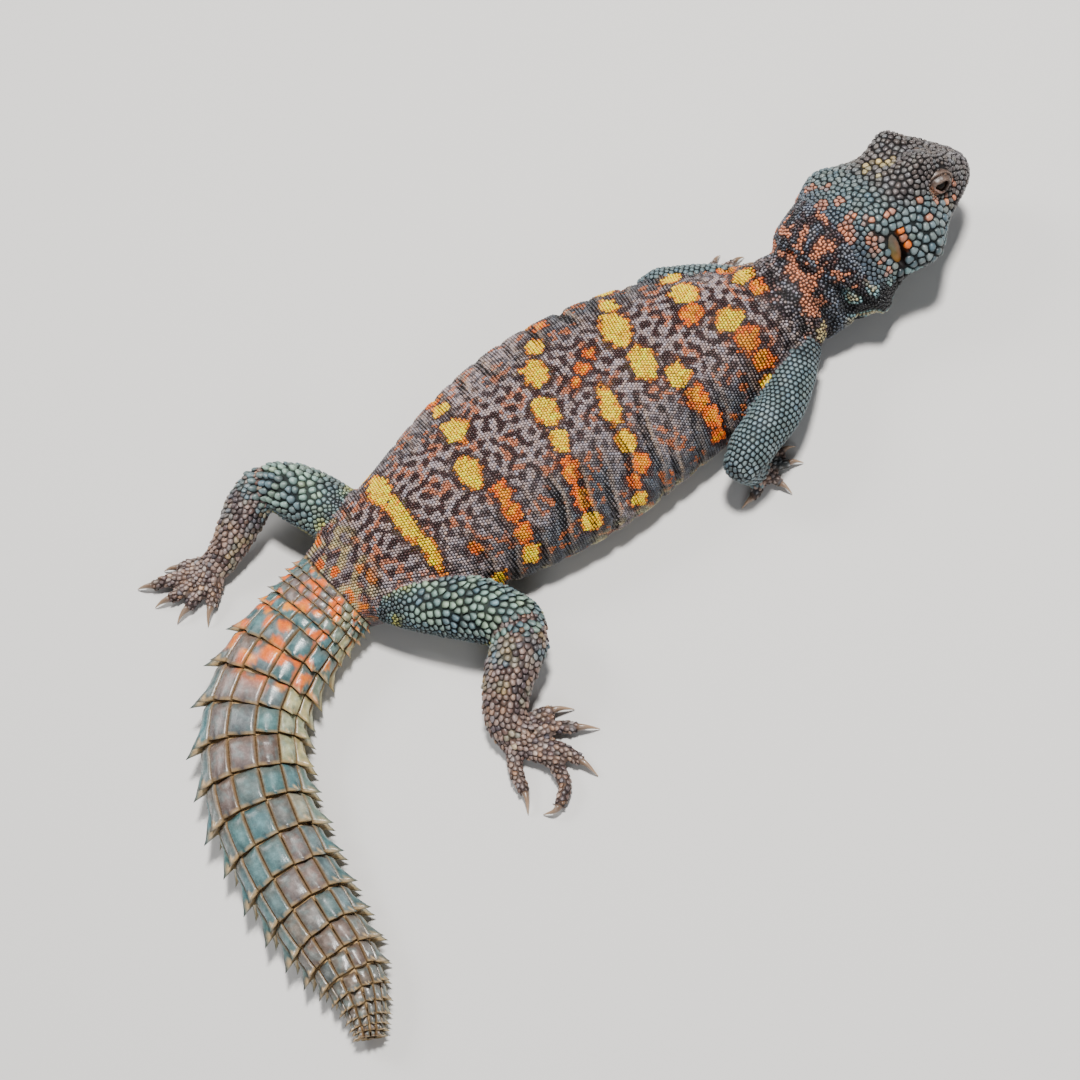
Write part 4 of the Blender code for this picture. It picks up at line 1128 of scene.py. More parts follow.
    @staticmethod
    def rooted(ground: Array, out: Array, way: Array, size: Array, rows: Array) -> Roots:
        """Roots at places of the skin, with what their rows of the atlas say."""
        return Roots(ground, out, square_to(way, out), size, rows[:, 1], rows[:, 2], rows[:, 3:5])

    def darts(self, samples: Array, gaps: Array) -> list[int]:
        """Picks samples in turn, leaving out each that is too near to one picked before."""
        cell = float(gaps.max())
        grid: dict[tuple[int, int, int], list[int]] = {}
        kept = []
        cells = np.floor(samples / cell).astype(int)
        around = [(x, y, z) for x in (-1, 0, 1) for y in (-1, 0, 1) for z in (-1, 0, 1)]
        points = samples.tolist()
        for i, (x, y, z) in enumerate(cells.tolist()):
            px, py, pz = points[i]
            free = True
            for dx, dy, dz in around:
                for j in grid.get((x + dx, y + dy, z + dz), ()):
                    qx, qy, qz = points[j]
                    limit = (gaps[i] + gaps[j]) / 2
                    if (px - qx) ** 2 + (py - qy) ** 2 + (pz - qz) ** 2 < limit * limit:
                        free = False
                        break
                if not free:
                    break
            if free:
                kept.append(i)
                grid.setdefault((x, y, z), []).append(i)
        return kept


class Hue(Enum):
    """The colours of the living animal, in linear light, with a few painted shades and highlights among them.
    """

    PALE = (0.42, 0.345, 0.345)
    MAROON = (0.038, 0.016, 0.016)
    SLATE = (0.061, 0.076, 0.090)
    CHARCOAL = (0.022, 0.026, 0.034)
    YELLOW = (1.25, 0.78, 0.060)
    ORANGE = (0.80, 0.20, 0.035)
    SALMON = (0.70, 0.315, 0.215)
    CREAM = (0.60, 0.50, 0.30)
    TEMPLE = (0.125, 0.165, 0.175)
    CROWN = (0.098, 0.083, 0.080)
    TAN = (0.210, 0.135, 0.095)
    TEAL = (0.150, 0.200, 0.212)
    MINT = (0.330, 0.440, 0.360)
    TAUPE = (0.300, 0.222, 0.195)
    PLUM = (0.075, 0.052, 0.055)
    SCUTE_TEAL = (0.088, 0.155, 0.165)
    MAUVE = (0.180, 0.126, 0.113)
    BELLY = (0.50, 0.46, 0.30)
    NECK_BLUE = (0.150, 0.170, 0.205)
    RUST = (0.52, 0.15, 0.05)
    FOLD_EDGE = (0.46, 0.35, 0.27)
    SPOT_RIM = (0.80, 0.27, 0.02)
    SPOT_GLOW = (0.88, 0.40, 0.02)
    THROAT = (0.006, 0.007, 0.009)
    THROAT_BAR = (0.26, 0.38, 0.38)
    THROAT_PATCH = (0.58, 0.54, 0.38)
    CROWN_PALE = (0.26, 0.24, 0.25)
    CROWN_DARK = (0.085, 0.075, 0.075)
    TEMPLE_PALE = (0.33, 0.37, 0.37)
    NAPE = (0.070, 0.085, 0.110)
    LIP = (0.16, 0.17, 0.18)
    ARM_PALE = (0.24, 0.30, 0.32)
    ARMPIT = (0.045, 0.052, 0.065)
    HAND = (0.24, 0.25, 0.25)
    THIGH_DARK = (0.048, 0.056, 0.064)
    THIGH_YELLOW = (0.55, 0.52, 0.16)
    KNEE = (0.17, 0.235, 0.25)
    SHANK_PALE = (0.42, 0.37, 0.26)
    FOOT_PALE = (0.50, 0.40, 0.34)
    TIP_BROWN = (0.155, 0.118, 0.096)
    TAIL_YELLOW = (0.56, 0.50, 0.27)
    TAIL_SKIN = (0.44, 0.29, 0.14)
    SCUTE_BROWN = (0.175, 0.115, 0.075)
    SCUTE_BLUE = (0.095, 0.175, 0.180)
    SCUTE_DOT = (0.025, 0.030, 0.034)
    SCUTE_LIP = (0.42, 0.275, 0.125)
    EMBER = (0.62, 0.105, 0.004)
    FLAME = (0.72, 0.23, 0.006)
    PUPIL = (0.006, 0.005, 0.005)
    IRIS = (0.016, 0.008, 0.004)
    LID = (0.070, 0.042, 0.031)
    LID_PALE = (0.175, 0.118, 0.090)
    LID_PINK = (0.34, 0.20, 0.155)
    LID_ORANGE = (0.34, 0.11, 0.03)
    LID_EDGE = (0.010, 0.006, 0.005)
    LID_OUTER = (0.07, 0.06, 0.058)
    DRUM = (0.130, 0.108, 0.042)
    DRUM_DARK = (0.12, 0.055, 0.018)
    DRUM_ORANGE = (0.34, 0.115, 0.010)
    CLAW_ROOT = (0.11, 0.07, 0.05)
    CLAW_TIP = (0.36, 0.235, 0.145)
    PIT = (0.004, 0.003, 0.003)


@dataclass(frozen=True)
class Spot:
    """One spot of the pattern: where it lies along and across the trunk, its half sizes and hue."""

    along: float
    across: float
    half_along: float
    half_across: float
    hue: Hue = Hue.YELLOW
    lean: float = 0.0
    parted: bool = True


# in rows from the hips to the neck, from the left side over the back to the right side
TRUNK_SPOTS = (
    Spot(113.5, -8.5, 2.5, 5.5, parted=False), Spot(112.5, 1.0, 2.0, 6.5, parted=False),
    Spot(111.6, 10.0, 1.2, 5.5, parted=False), Spot(114.5, -20.5, 1.8, 3.4),
    Spot(91.5, -23.5, 1.8, 2.6, Hue.ORANGE), Spot(91.7, -17.2, 1.8, 2.4),
    Spot(92.3, -8.3, 2.8, 3.7), Spot(95.4, 2.3, 2.7, 4.6), Spot(92.5, 10.6, 1.8, 2.4, Hue.ORANGE),
    Spot(93.4, 15.6, 2.0, 2.6, Hue.ORANGE), Spot(93.6, 20.6, 1.9, 2.2, Hue.ORANGE),
    Spot(94.8, 25.6, 2.0, 2.4), Spot(103.0, 27.0, 1.6, 2.0),
    Spot(103.5, 17.0, 1.2, 1.6, Hue.ORANGE), Spot(90.5, -31.0, 1.8, 3.0, Hue.ORANGE),
    Spot(64.5, -22.5, 1.6, 2.4, Hue.ORANGE), Spot(67.8, -15.5, 1.9, 3.0),
    Spot(71.3, -8.2, 2.5, 3.9), Spot(74.4, 1.8, 2.6, 4.2), Spot(76.0, 9.4, 1.9, 3.6, lean=0.25),
    Spot(77.8, 15.6, 1.7, 3.8, Hue.ORANGE, 0.2), Spot(79.3, 22.0, 1.8, 3.6, Hue.ORANGE, 0.2),
    Spot(80.6, 27.6, 2.2, 2.6), Spot(66.0, -30.0, 2.0, 3.2, Hue.ORANGE),
    Spot(62.5, -2.4, 1.5, 1.6, Hue.ORANGE), Spot(59.6, -5.2, 1.2, 1.5, Hue.ORANGE),
    Spot(65.0, -0.6, 1.1, 1.3, Hue.ORANGE), Spot(51.0, -15.5, 2.0, 3.4), Spot(52.2, -8.0, 2.9, 6.2),
    Spot(50.6, 3.2, 2.8, 4.6), Spot(62.2, 8.7, 2.1, 4.8, lean=0.2), Spot(63.2, 17.4, 2.1, 3.0),
    Spot(63.0, 22.6, 2.1, 2.6, Hue.ORANGE), Spot(67.6, 30.0, 1.9, 2.2), Spot(49.5, -24.0, 2.2, 3.0),
    Spot(49.0, -31.0, 2.0, 2.8, Hue.ORANGE), Spot(66.6, 25.8, 1.3, 2.0, Hue.ORANGE),
    Spot(35.6, -9.4, 2.8, 4.2), Spot(36.4, -3.0, 2.6, 3.0, Hue.ORANGE), Spot(45.0, 9.6, 2.5, 3.2),
    Spot(43.4, 15.6, 2.3, 3.2, Hue.ORANGE), Spot(42.2, 20.8, 2.1, 3.0, Hue.ORANGE),
    Spot(36.5, -18.0, 2.2, 3.2), Spot(37.5, -25.5, 2.0, 3.0, Hue.ORANGE),
    Spot(42.5, 26.0, 1.6, 2.0, Hue.ORANGE), Spot(21.2, -7.2, 2.5, 3.0),
    Spot(20.6, -1.2, 1.7, 2.4, Hue.ORANGE), Spot(29.6, 2.4, 2.8, 3.2),
    Spot(28.6, 8.4, 2.3, 3.6, Hue.ORANGE), Spot(28.0, 13.8, 2.0, 2.6, Hue.ORANGE),
    Spot(28.8, 19.0, 1.4, 1.8), Spot(22.5, -14.5, 2.2, 3.4, Hue.ORANGE),
    Spot(24.0, -21.5, 1.8, 3.0, Hue.ORANGE), Spot(9.6, -2.0, 1.9, 3.4, Hue.SALMON),
    Spot(12.4, 1.4, 2.4, 2.8, Hue.SALMON), Spot(12.4, 6.4, 2.2, 3.2, Hue.SALMON),
    Spot(14.2, 10.4, 2.1, 2.8, Hue.SALMON), Spot(2.4, 14.2, 1.5, 4.4, Hue.SALMON),
    Spot(9.4, -9.5, 1.9, 3.2, Hue.SALMON), Spot(12.0, -15.5, 1.9, 3.0, Hue.SALMON),
    Spot(1.6, 1.6, 1.7, 2.4, Hue.SALMON), Spot(1.0, 7.6, 1.5, 2.2, Hue.SALMON),
    Spot(2.5, -6.0, 1.6, 3.0, Hue.SALMON), Spot(2.0, -13.0, 1.6, 3.0, Hue.SALMON),
    Spot(14.6, 18.6, 0.8, 3.0, Hue.CREAM),
)
# forward, right and up of the head, radius and hue
HEAD_SPOTS = (
    (2.6, 13.6, 2.6, 1.25, Hue.SALMON), (2.6, 13.8, 0.4, 1.15, Hue.SALMON),
    (2.7, 13.8, -1.8, 1.0, Hue.CREAM), (-11.2, 11.9, 2.7, 1.9, Hue.SALMON),
    (-12.6, 12.5, 0.6, 1.6, Hue.SALMON), (-9.8, 7.0, 7.8, 2.3, Hue.SALMON),
    (-7.3, 9.4, 7.4, 2.4, Hue.SALMON), (-7.6, 10.6, 5.6, 1.8, Hue.SALMON),
    (-3.5, 13.3, 4.5, 1.8, Hue.SALMON), (-4.3, 13.6, 2.8, 1.5, Hue.SALMON),
    (-2.2, 11.2, 7.7, 1.6, Hue.SALMON), (-3.6, 14.4, -1.5, 1.1, Hue.SALMON),
    (-3.2, 14.0, -4.2, 1.4, Hue.SALMON), (-4.2, 8.2, 9.0, 1.5, Hue.SALMON),
    (-3.5, 2.5, 9.8, 1.2, Hue.SALMON), (-5.1, -7.4, 8.9, 1.7, Hue.SALMON),
    (-3.0, -4.2, 9.6, 1.2, Hue.SALMON), (-6.8, 0.2, 9.6, 1.9, Hue.SALMON),
    (2.3, 11.7, 6.5, 1.2, Hue.SALMON), (9.8, 11.0, 3.7, 0.9, Hue.SALMON),
    (13.9, 10.4, 1.2, 1.3, Hue.SALMON), (16.5, 9.7, -1.1, 1.0, Hue.SALMON),
    (9.5, 13.1, 0.2, 1.0, Hue.SALMON), (2.6, 14.3, 1.8, 1.1, Hue.ORANGE),
    (2.4, 14.4, -0.4, 0.9, Hue.ORANGE), (19.4, 8.0, -0.4, 0.9, Hue.SALMON),
    (18.2, 8.6, -2.4, 0.9, Hue.SALMON), (10.5, 0.7, 9.3, 2.0, Hue.CREAM),
    (9.4, -1.8, 9.3, 1.3, Hue.CREAM), (6.3, -1.7, 9.6, 1.7, Hue.CREAM),
    (7.4, 2.6, 9.5, 1.1, Hue.CREAM), (-7.5, -11.0, 6.0, 2.0, Hue.SALMON),
    (-3.5, -13.3, 4.0, 1.6, Hue.SALMON), (9.8, -11.0, 3.0, 1.0, Hue.SALMON),
    (14.0, -10.0, 1.0, 1.2, Hue.SALMON), (2.6, -14.3, 1.0, 1.1, Hue.ORANGE),
    (20.3, 7.2, 0.6, 0.8, Hue.SALMON), (19.6, 7.9, -0.6, 0.8, Hue.SALMON),
    (16.7, 9.3, -0.6, 0.8, Hue.SALMON), (16.3, 10.2, -2.2, 0.9, Hue.CREAM),
    (2.9, 13.8, 3.0, 0.9, Hue.ORANGE), (2.7, 14.6, -2.0, 0.8, Hue.SALMON),
)


@dataclass
class Markings:
    """The pattern of the living animal, for scales and for the skin between them, with some painted shade and
    highlight mixed in.
    """

    trunk: TrunkForm
    chance: np.random.Generator
    richness: float = 1.35
    shade: float = 0.76
    table_size: tuple[int, int] = (59, 240)

    def across(self, along: Array, angle: Array) -> Array:
        """Signed millimetres from the middle of the back, to the right side positive."""
        steps, turns = self.table_size
        fine = np.linspace(-math.pi / 2, 1.5 * math.pi, turns + 1)
        table = []
        for key in np.linspace(0, self.trunk.length, steps + 1):
            reach = self.trunk.girth(key, fine)
            table.append(reach[turns // 2] - reach)
        table = np.array(table)
        turn = turn_share(angle) * turns
        row = np.clip(along / self.trunk.length, 0, 1) * steps
        i, j = np.minimum(row.astype(int), steps - 1), np.minimum(turn.astype(int), turns - 1)
        a, b = row - i, turn - j
        low = table[i, j] * (1 - b) + table[i, j + 1] * b
        high = table[i + 1, j] * (1 - b) + table[i + 1, j + 1] * b
        return low * (1 - a) + high * a

    def speckled(self, tint: Array, amount: float) -> Array:
        """Colours with each scale a little lighter or darker, and warmer or cooler."""
        grey = tint.mean(axis=1, keepdims=True)
        tint = (grey + (tint - grey) * self.richness) * self.shade
        light = 1.0 + amount * self.chance.normal(0, 1, (len(tint), 1))
        warm = 1.0 + 0.35 * amount * self.chance.normal(0, 1, (len(tint), 1)) * np.array((1.0, 0.1, -1.0))
        return np.clip(tint * np.clip(light, 0.35, 1.9) * warm, 0.004, 0.92)

    def on_trunk(self, roots: Roots) -> Array:
        """Pale and maroon granules with ringed spots, slate on the flanks and charcoal on the neck."""
        places = roots.place
        across = self.across(roots.along, roots.angle)
        flat = np.stack([roots.along, across], axis=1)
        bent = flat + 1.1 * np.stack([field_noise(places, 7.0, 3.0), field_noise(places, 7.0, 13.0)], axis=1)
        patches = field_noise(places, 12.0, 40.0)
        line = smoothstep(0.04, 0.40, labyrinth(bent, 3.0, 4) + 0.30 * patches)
        flank = smoothstep(7.0, 21.0, np.abs(across))
        pale = blend(Hue.PALE, Hue.SLATE, 0.9 * flank * smoothstep(-0.6, 0.2, patches))
        neck = smoothstep(26.0, 12.0, roots.along + 4.0 * patches)
        pale = blend(pale, Hue.NECK_BLUE, 0.9 * neck)
        dark = blend(Hue.MAROON, Hue.CHARCOAL, np.maximum(neck, 0.7 * flank))
        tint = blend(pale, dark, line * (1.0 - 0.35 * flank))
        glint = smoothstep(0.25, 0.5, labyrinth(bent, 9.0, 8))
        glint = glint * smoothstep(0.5, -0.2, labyrinth(bent, 2.6, 5))
        tint = blend(tint, Hue.RUST, 0.7 * glint * (1.0 - line) * (1.0 - neck))
        rough = np.stack([field_noise(places, 1.5, 77.0), field_noise(places, 2.6, 15.0)])
        tint = self.with_spots(tint, roots.along, across, rough)
        # painted shade darkens the creases of the skin's folds; the skin just ahead of each crease is paler
        # tan
        fold, ridge = (np.clip(self.trunk.fold_relief(roots.along + ahead, roots.angle)
                               / self.trunk.fold_depth, 0, 1)
                       for ahead in (0.0, 1.25))
        tint = blend(tint, Hue.FOLD_EDGE, 0.50 * ridge * (1.0 - fold) * (1.0 - neck))
        tint = tint * (1.0 - 0.70 * fold)[:, None]
        edge = smoothstep(31.0, 36.0, np.abs(across)) * smoothstep(20.0, 30.0, roots.along)
        tint = blend(tint, Hue.BELLY, edge * smoothstep(-0.2, 0.3, field_noise(places, 2.4, 21.0)))
        rump = smoothstep(121.0, 127.0, roots.along + 2.0 * patches)
        warm = smoothstep(-0.1, 0.25, field_noise(places, 2.6, 90.0)) * smoothstep(18.0, 9.0, np.abs(across))
        tint = blend(tint, Hue.PLUM, 0.5 * rump)
        tint = blend(tint, Hue.CREAM, 0.75 * rump * warm)
        tint = blend(tint, Hue.ORANGE, rump * smoothstep(0.15, 0.35, field_noise(places, 3.0, 51.0)) * warm)
        head = HeadFrame().coordinates(places)
        throat = smoothstep(-2.0, -6.5, head[:, 2]) * smoothstep(-17.0, -12.0, head[:, 0])
        tint = blend(tint, self.throat(head), throat)
        return self.speckled(tint, 0.20)

    def with_spots(self, tint: Array, along: Array, across: Array, ragged: Array) -> Array:
        """Paints the spots of the trunk, parted by thin dark lines, with dark rings and orange rims."""
        reaches = []
        for spot in TRUNK_SPOTS:
            offset = along - spot.along - spot.lean * (across - spot.across)
            reach = np.hypot(offset / spot.half_along, (across - spot.across) / spot.half_across)
            reaches.append((reach - 0.96) * min(spot.half_along, spot.half_across))
        reaches = np.array(reaches)
        first = reaches.argmin(axis=0)
        distance, second = np.partition(reaches, 1, axis=0)[:2]
        hues = np.array([spot.hue.value for spot in TRUNK_SPOTS])[first]
        yellow, salmon, orange = (np.array([spot.hue is hue for spot in TRUNK_SPOTS])[first]
                                  for hue in (Hue.YELLOW, Hue.SALMON, Hue.ORANGE))
        parted = np.array([spot.parted for spot in TRUNK_SPOTS])[first] * np.where(yellow, 0.80, 0.25)
        parting = bell(second, distance, 0.65) * parted
        distance = distance + parting - 0.15 + ragged[0] + self.chance.normal(0, 0.16, len(tint))
        distance = distance + salmon * (0.35 + 2.6 * ragged[1])
        tint = blend(tint, Hue.MAROON, 0.9 * smoothstep(1.5, 0.7, distance))
        rims = np.where(yellow[:, None], Hue.SPOT_RIM.value, hues)
        tint = blend(tint, rims, smoothstep(0.20, -0.05, distance))
        tint = blend(tint, Hue.YELLOW, yellow * smoothstep(-0.10, -0.42, distance))
        return blend(tint, Hue.SPOT_GLOW, 0.85 * orange * smoothstep(-0.5, -1.1, distance + ragged[0]))

    @staticmethod
    def throat(head: Array) -> Array:
        """The throat: black with pale bars and patches, at places in the head's directions."""
        bars = field_noise(head * np.array((1.0, 0.3, 1.0)), 3.4, 31.0)
        tint = blend(Hue.THROAT, Hue.THROAT_BAR, smoothstep(0.02, 0.16, bars))
        return blend(tint, Hue.THROAT_PATCH, smoothstep(0.22, 0.38, bars))

    def on_head(self, roots: Roots) -> Array:
        """Brown crown, blue-grey temples with salmon spots, a black throat with pale bars."""
        places = HeadFrame().coordinates(roots.place)
        forward, right, up = places.T
        crown = smoothstep(4.0, 8.0, up + 0.25 * forward - 0.12 * np.abs(right))
        crown = crown * smoothstep(1.0, 7.0, forward)
        crown = np.maximum(crown, smoothstep(13.0, 19.0, forward))
        tint = blend(Hue.TEMPLE, Hue.CROWN, crown)
        tint = blend(tint, Hue.CROWN_PALE, 0.6 * smoothstep(0.1, 0.5, field_noise(places, 2.5, 9.0)) * crown)
        light = self.chance.uniform(0.0, 1.0, len(places)) ** 2.0
        tint = blend(tint, Hue.TEMPLE_PALE, 0.5 * light * (1.0 - 0.5 * crown))
        tint = blend(tint, Hue.CROWN_DARK, 0.6 * smoothstep(0.1, 0.4, field_noise(places, 3.2, 19.0)) * crown)
        tint = blend(tint, Hue.NAPE, 0.8 * smoothstep(-3.0, -7.0, forward))
        jaw = smoothstep(-4.5, -8.0, up + 0.10 * forward)
        tint = blend(tint, self.throat(places), jaw * smoothstep(9.0, 3.0, forward))
        tint = blend(tint, Hue.LIP, jaw * smoothstep(12.0, 18.0, forward) * 0.7)
        ragged = field_noise(places, 1.2, 60.0)
        uneven = self.chance.uniform(0.25, 1.0, len(places))
        for f, r, u, radius, hue in HEAD_SPOTS:
            reach = np.sqrt((forward - f) ** 2 + (right - r) ** 2 + (up - u) ** 2) / radius + 0.3 * ragged
            tint = blend(tint, hue, uneven * smoothstep(1.0, 0.75, reach))
        side = np.abs(right)
        eye = np.sqrt(((forward - 16.4) / 3.4) ** 2 + ((side - 9.6) / 2.6) ** 2 + ((up - 3.3) / 2.8) ** 2)
        tint = blend(tint, Hue.TAN, 0.8 * smoothstep(1.15, 0.8, eye))
        return self.speckled(tint, 0.13)

    def on_limb(self, roots: Roots, region: Region) -> Array:
        """Pale blue arms with painted shade at the shoulder, mint and teal thighs whose mint is partly
        painted highlight, taupe shanks and feet.
        """
        place, along, above = roots.place, roots.along, roots.out[:, 2]
        patches = field_noise(place, 4.0, 17.0)
        if region is Region.ARM:
            tint = blend(Hue.TEAL, Hue.ARM_PALE, smoothstep(-0.1, 0.5, patches))
            # painted shade at the shoulder, where the arm meets the body
            tint = blend(tint, Hue.ARMPIT, 0.5 * smoothstep(7.5, 4.0, along) * (along < 15.0))
            return self.speckled(tint, 0.12)
        if region is Region.HAND:
            return self.speckled(blend(Hue.HAND, Hue.TAUPE, smoothstep(-0.3, 0.3, patches)), 0.2)
        if region is Region.LEG:
            # mint on the upper side of the thigh: partly its own colour, partly painted highlight
            tint = blend(Hue.TEAL, Hue.MINT, smoothstep(-0.35, 0.35, patches) * smoothstep(0.2, 0.8, above))
            low = np.maximum(smoothstep(0.25, -0.3, above), smoothstep(12.5, 7.0, along))
            fine = field_noise(place, 2.2, 61.0)
            tint = blend(tint, Hue.THIGH_DARK, 0.85 * low * smoothstep(0.15, -0.15, fine))
            tint = blend(tint, Hue.THIGH_YELLOW, 0.8 * low * smoothstep(0.12, 0.35, patches))
            return self.speckled(tint, 0.16)
        if region is Region.SHANK:
            upper = smoothstep(17.0, 8.0, along)
            tint = blend(Hue.TAUPE, Hue.KNEE, 0.9 * upper * smoothstep(-0.3, 0.2, patches))
            tint = blend(tint, Hue.PLUM, 0.85 * smoothstep(-0.05, 0.25, field_noise(place, 2.2, 8.0)))
            tint = blend(tint, Hue.SHANK_PALE, 0.6 * smoothstep(0.15, 0.4, field_noise(place, 3.4, 80.0)))
            return self.speckled(tint, 0.26)
        tint = blend(Hue.TAUPE, Hue.PLUM, 0.8 * smoothstep(-0.05, 0.3, field_noise(place, 2.0, 4.0)))
        tint = blend(tint, Hue.FOOT_PALE, 0.7 * smoothstep(0.1, 0.4, field_noise(place, 1.5, 88.0)))
        return self.speckled(tint, 0.28)

    def on_tail(self, along: Array, angle: Array, length: float) -> Array:
        """Teal at the sides and mauve on top, orange on the first whorls, browner to the tip."""
        share = along / length
        places = np.stack([along, 6 * np.cos(angle), 6 * np.sin(angle)], axis=1)
        patches = field_noise(places, 7.0, 23.0)
        top = smoothstep(0.35, 0.95, np.sin(angle) + 0.25 * patches)
        tint = blend(Hue.SCUTE_TEAL, Hue.MAUVE, 0.85 * top * smoothstep(-0.35, 0.25, patches))
        tint = blend(tint, Hue.TIP_BROWN, 0.7 * smoothstep(0.62, 0.95, share))
        inner = smoothstep(0.45, 0.85, np.cos(angle)) * smoothstep(0.62, 0.40, share)
        inner = inner * smoothstep(-0.5, 0.2, patches)
        tint = blend(tint, Hue.TAIL_YELLOW, 0.75 * inner)
        tint = blend(tint, Hue.BELLY, 0.8 * smoothstep(-0.1, -0.5, np.sin(angle)))
        return self.speckled(tint, 0.12)


class Board:
    """A short way to lay out the nodes of one tree."""

    def __init__(self, tree: bpy.types.NodeTree) -> None:
        """Keeps the tree.

        Args:
            tree: a shader or geometry tree.
        """
        self.tree = tree

    def node(self, kind: str, inputs: dict | None = None, **settings: object) -> bpy.types.Node:
        """Adds a node.

        Args:
            kind: the node's type.
            inputs: values or sockets for its inputs, by name or number.
            settings: the node's own settings.

        Returns:
            The node.
        """
        made = self.tree.nodes.new(kind)
        for name, value in settings.items():
            setattr(made, name, value)
        self.feed(made, inputs or {})
        return made

    def feed(self, node: bpy.types.Node, inputs: dict) -> None:
        """Gives a node's inputs their values or sockets, by name or number."""
        for name, value in inputs.items():
            if isinstance(value, bpy.types.NodeSocket):
                self.tree.links.new(value, node.inputs[name])
            else:
                node.inputs[name].default_value = value

    def math(self, operation: str, first: object, second: object) -> bpy.types.NodeSocket:
        """The result of one sum of two values or sockets."""
        return self.node("ShaderNodeMath", {0: first, 1: second}, operation=operation).outputs[0]

    def mixed(self, weight: object, first: object, second: object) -> bpy.types.NodeSocket:
        """Two colours mixed."""
        return self.node("ShaderNodeMix", {0: weight, 6: first, 7: second}, data_type="RGBA").outputs[2]

    def scaled(self, vector: bpy.types.NodeSocket, by: bpy.types.NodeSocket) -> bpy.types.NodeSocket:
        """A colour or direction multiplied by a value."""
        return self.node("ShaderNodeVectorMath", {0: vector, 1: by}, operation="MULTIPLY").outputs[0]

    def noise(self, place: bpy.types.NodeSocket, scale: object, detail: float,
              rough: float) -> bpy.types.NodeSocket:
        """Smooth noise of so many features a metre."""
        inputs = {"Vector": place, "Scale": scale, "Detail": detail, "Roughness": rough}
        return self.node("ShaderNodeTexNoise", inputs).outputs[0]


def grain_group() -> bpy.types.NodeTree:
    """The fine unevenness of horny skin: a shade to multiply a colour by, and a height."""
    found = bpy.data.node_groups.get("horny_grain")
    if found:
        return found
    tree = bpy.data.node_groups.new("horny_grain", "ShaderNodeTree")
    for name, value in (("Grain per metre", 1500.0), ("Shade", 0.3)):
        socket = tree.interface.new_socket(name, in_out="INPUT", socket_type="NodeSocketFloat")
        socket.default_value = value
    for name in ("Shade", "Height"):
        tree.interface.new_socket(name, in_out="OUTPUT", socket_type="NodeSocketFloat")
    board = Board(tree)
    given = board.node("NodeGroupInput")
    place = board.node("ShaderNodeTexCoord").outputs["Object"]
    coarse = board.noise(place, given.outputs[0], 4.0, 0.6)
    fine = board.noise(place, board.math("MULTIPLY", given.outputs[0], 3.7), 3.0, 0.7)
    mixed = board.math("ADD", coarse, board.math("MULTIPLY", fine, 0.6))
    strength = board.math("MULTIPLY", given.outputs[1], 2.0)
    shade = board.math("ADD", board.math("MULTIPLY", board.math("SUBTRACT", mixed, 0.8), strength), 1.0)
    board.node("NodeGroupOutput", {0: shade, 1: mixed})
    return tree


@dataclass(frozen=True)
class Finish:
    """What every finish shares: a name, and how its material is started."""

    name: str

    def begin(self) -> tuple[bpy.types.Material, Board, bpy.types.Node]:
        """A new material, a board to lay out its nodes, and its shader."""
        material = bpy.data.materials.new(self.name)
        material.use_nodes = True
        return material, Board(material.node_tree), material.node_tree.nodes["Principled BSDF"]

    @staticmethod
    def grained(
        board: Board, grain: float, shade: float
    ) -> tuple[bpy.types.NodeSocket, bpy.types.NodeSocket]:
        """The mesh's own colour, made uneven by the fine grain, and the grain's height."""
        tint = board.node("ShaderNodeAttribute", attribute_name="tint").outputs["Color"]
        group = board.node("ShaderNodeGroup", node_tree=grain_group())
        board.feed(group, {0: grain, 1: shade})
        return board.scaled(tint, group.outputs[0]), group.outputs[1]


@dataclass(frozen=True)
class ScaleFinish(Finish):
    """Horny scales whose colour comes from the markings, with painted shade that darkens each scale towards
    its base and into the gap colour, and a painted highlight on its top.
    """

    roughness: float = 0.42
    grain: float = 1500.0
    shade: float = 0.35
    relief: float = 0.00006
    # colour low on each scale and between scales: partly dark skin, partly painted shade
    gap: Color = (0.010, 0.007, 0.008)
    gap_weight: float = 0.8
    sheen: float = 0.35

    def make(self) -> bpy.types.Material:
        """Builds the material."""
        material, board, shader = self.begin()
        shaded, height = self.grained(board, self.grain, self.shade)
        lift = board.node("ShaderNodeAttribute", attribute_name="lift").outputs["Fac"]
        # painted shade and highlight from each point's lift: low points take the gap colour and are darker,
        # tops are lighter
        low = board.math("MULTIPLY", board.math("SUBTRACT", 1.0, lift), self.gap_weight)
        lit = board.scaled(shaded, board.math("ADD", board.math("MULTIPLY", lift, 0.72), 0.32))
        rough = board.math("ADD", board.math("MULTIPLY", height, 0.16), self.roughness - 0.13)
        bump = board.node("ShaderNodeBump", {"Height": height, "Strength": 0.5, "Distance": self.relief})
        board.feed(shader, {"Base Color": board.mixed(low, lit, (*self.gap, 1.0)), "Roughness": rough,
                            "Normal": bump.outputs[0], "Specular IOR Level": self.sheen})
        return material


@dataclass(frozen=True)
class GlossFinish(Finish):
    """A smooth wet or horny surface whose colour lies in the mesh."""

    roughness: float = 0.4
    coat: float = 0.0
    sheen: float = 0.5
    grain: float = 900.0
    shade: float = 0.2

    def make(self) -> bpy.types.Material:
        """Builds the material."""
        material, board, shader = self.begin()
        color, _ = self.grained(board, self.grain, self.shade)
        board.feed(shader, {"Base Color": color, "Roughness": self.roughness, "Coat Weight": self.coat,
                            "Coat Roughness": 0.03, "Specular IOR Level": self.sheen})
        return material


@dataclass(frozen=True)
class FloorFinish(Finish):
    """A plain pale floor."""

    color: Color = (0.60, 0.59, 0.575)
    roughness: float = 0.75

    def make(self) -> bpy.types.Material:
        """Builds the material."""
        material, board, shader = self.begin()
        board.feed(shader, {"Base Color": (*self.color, 1.0), "Roughness": self.roughness})
        return material


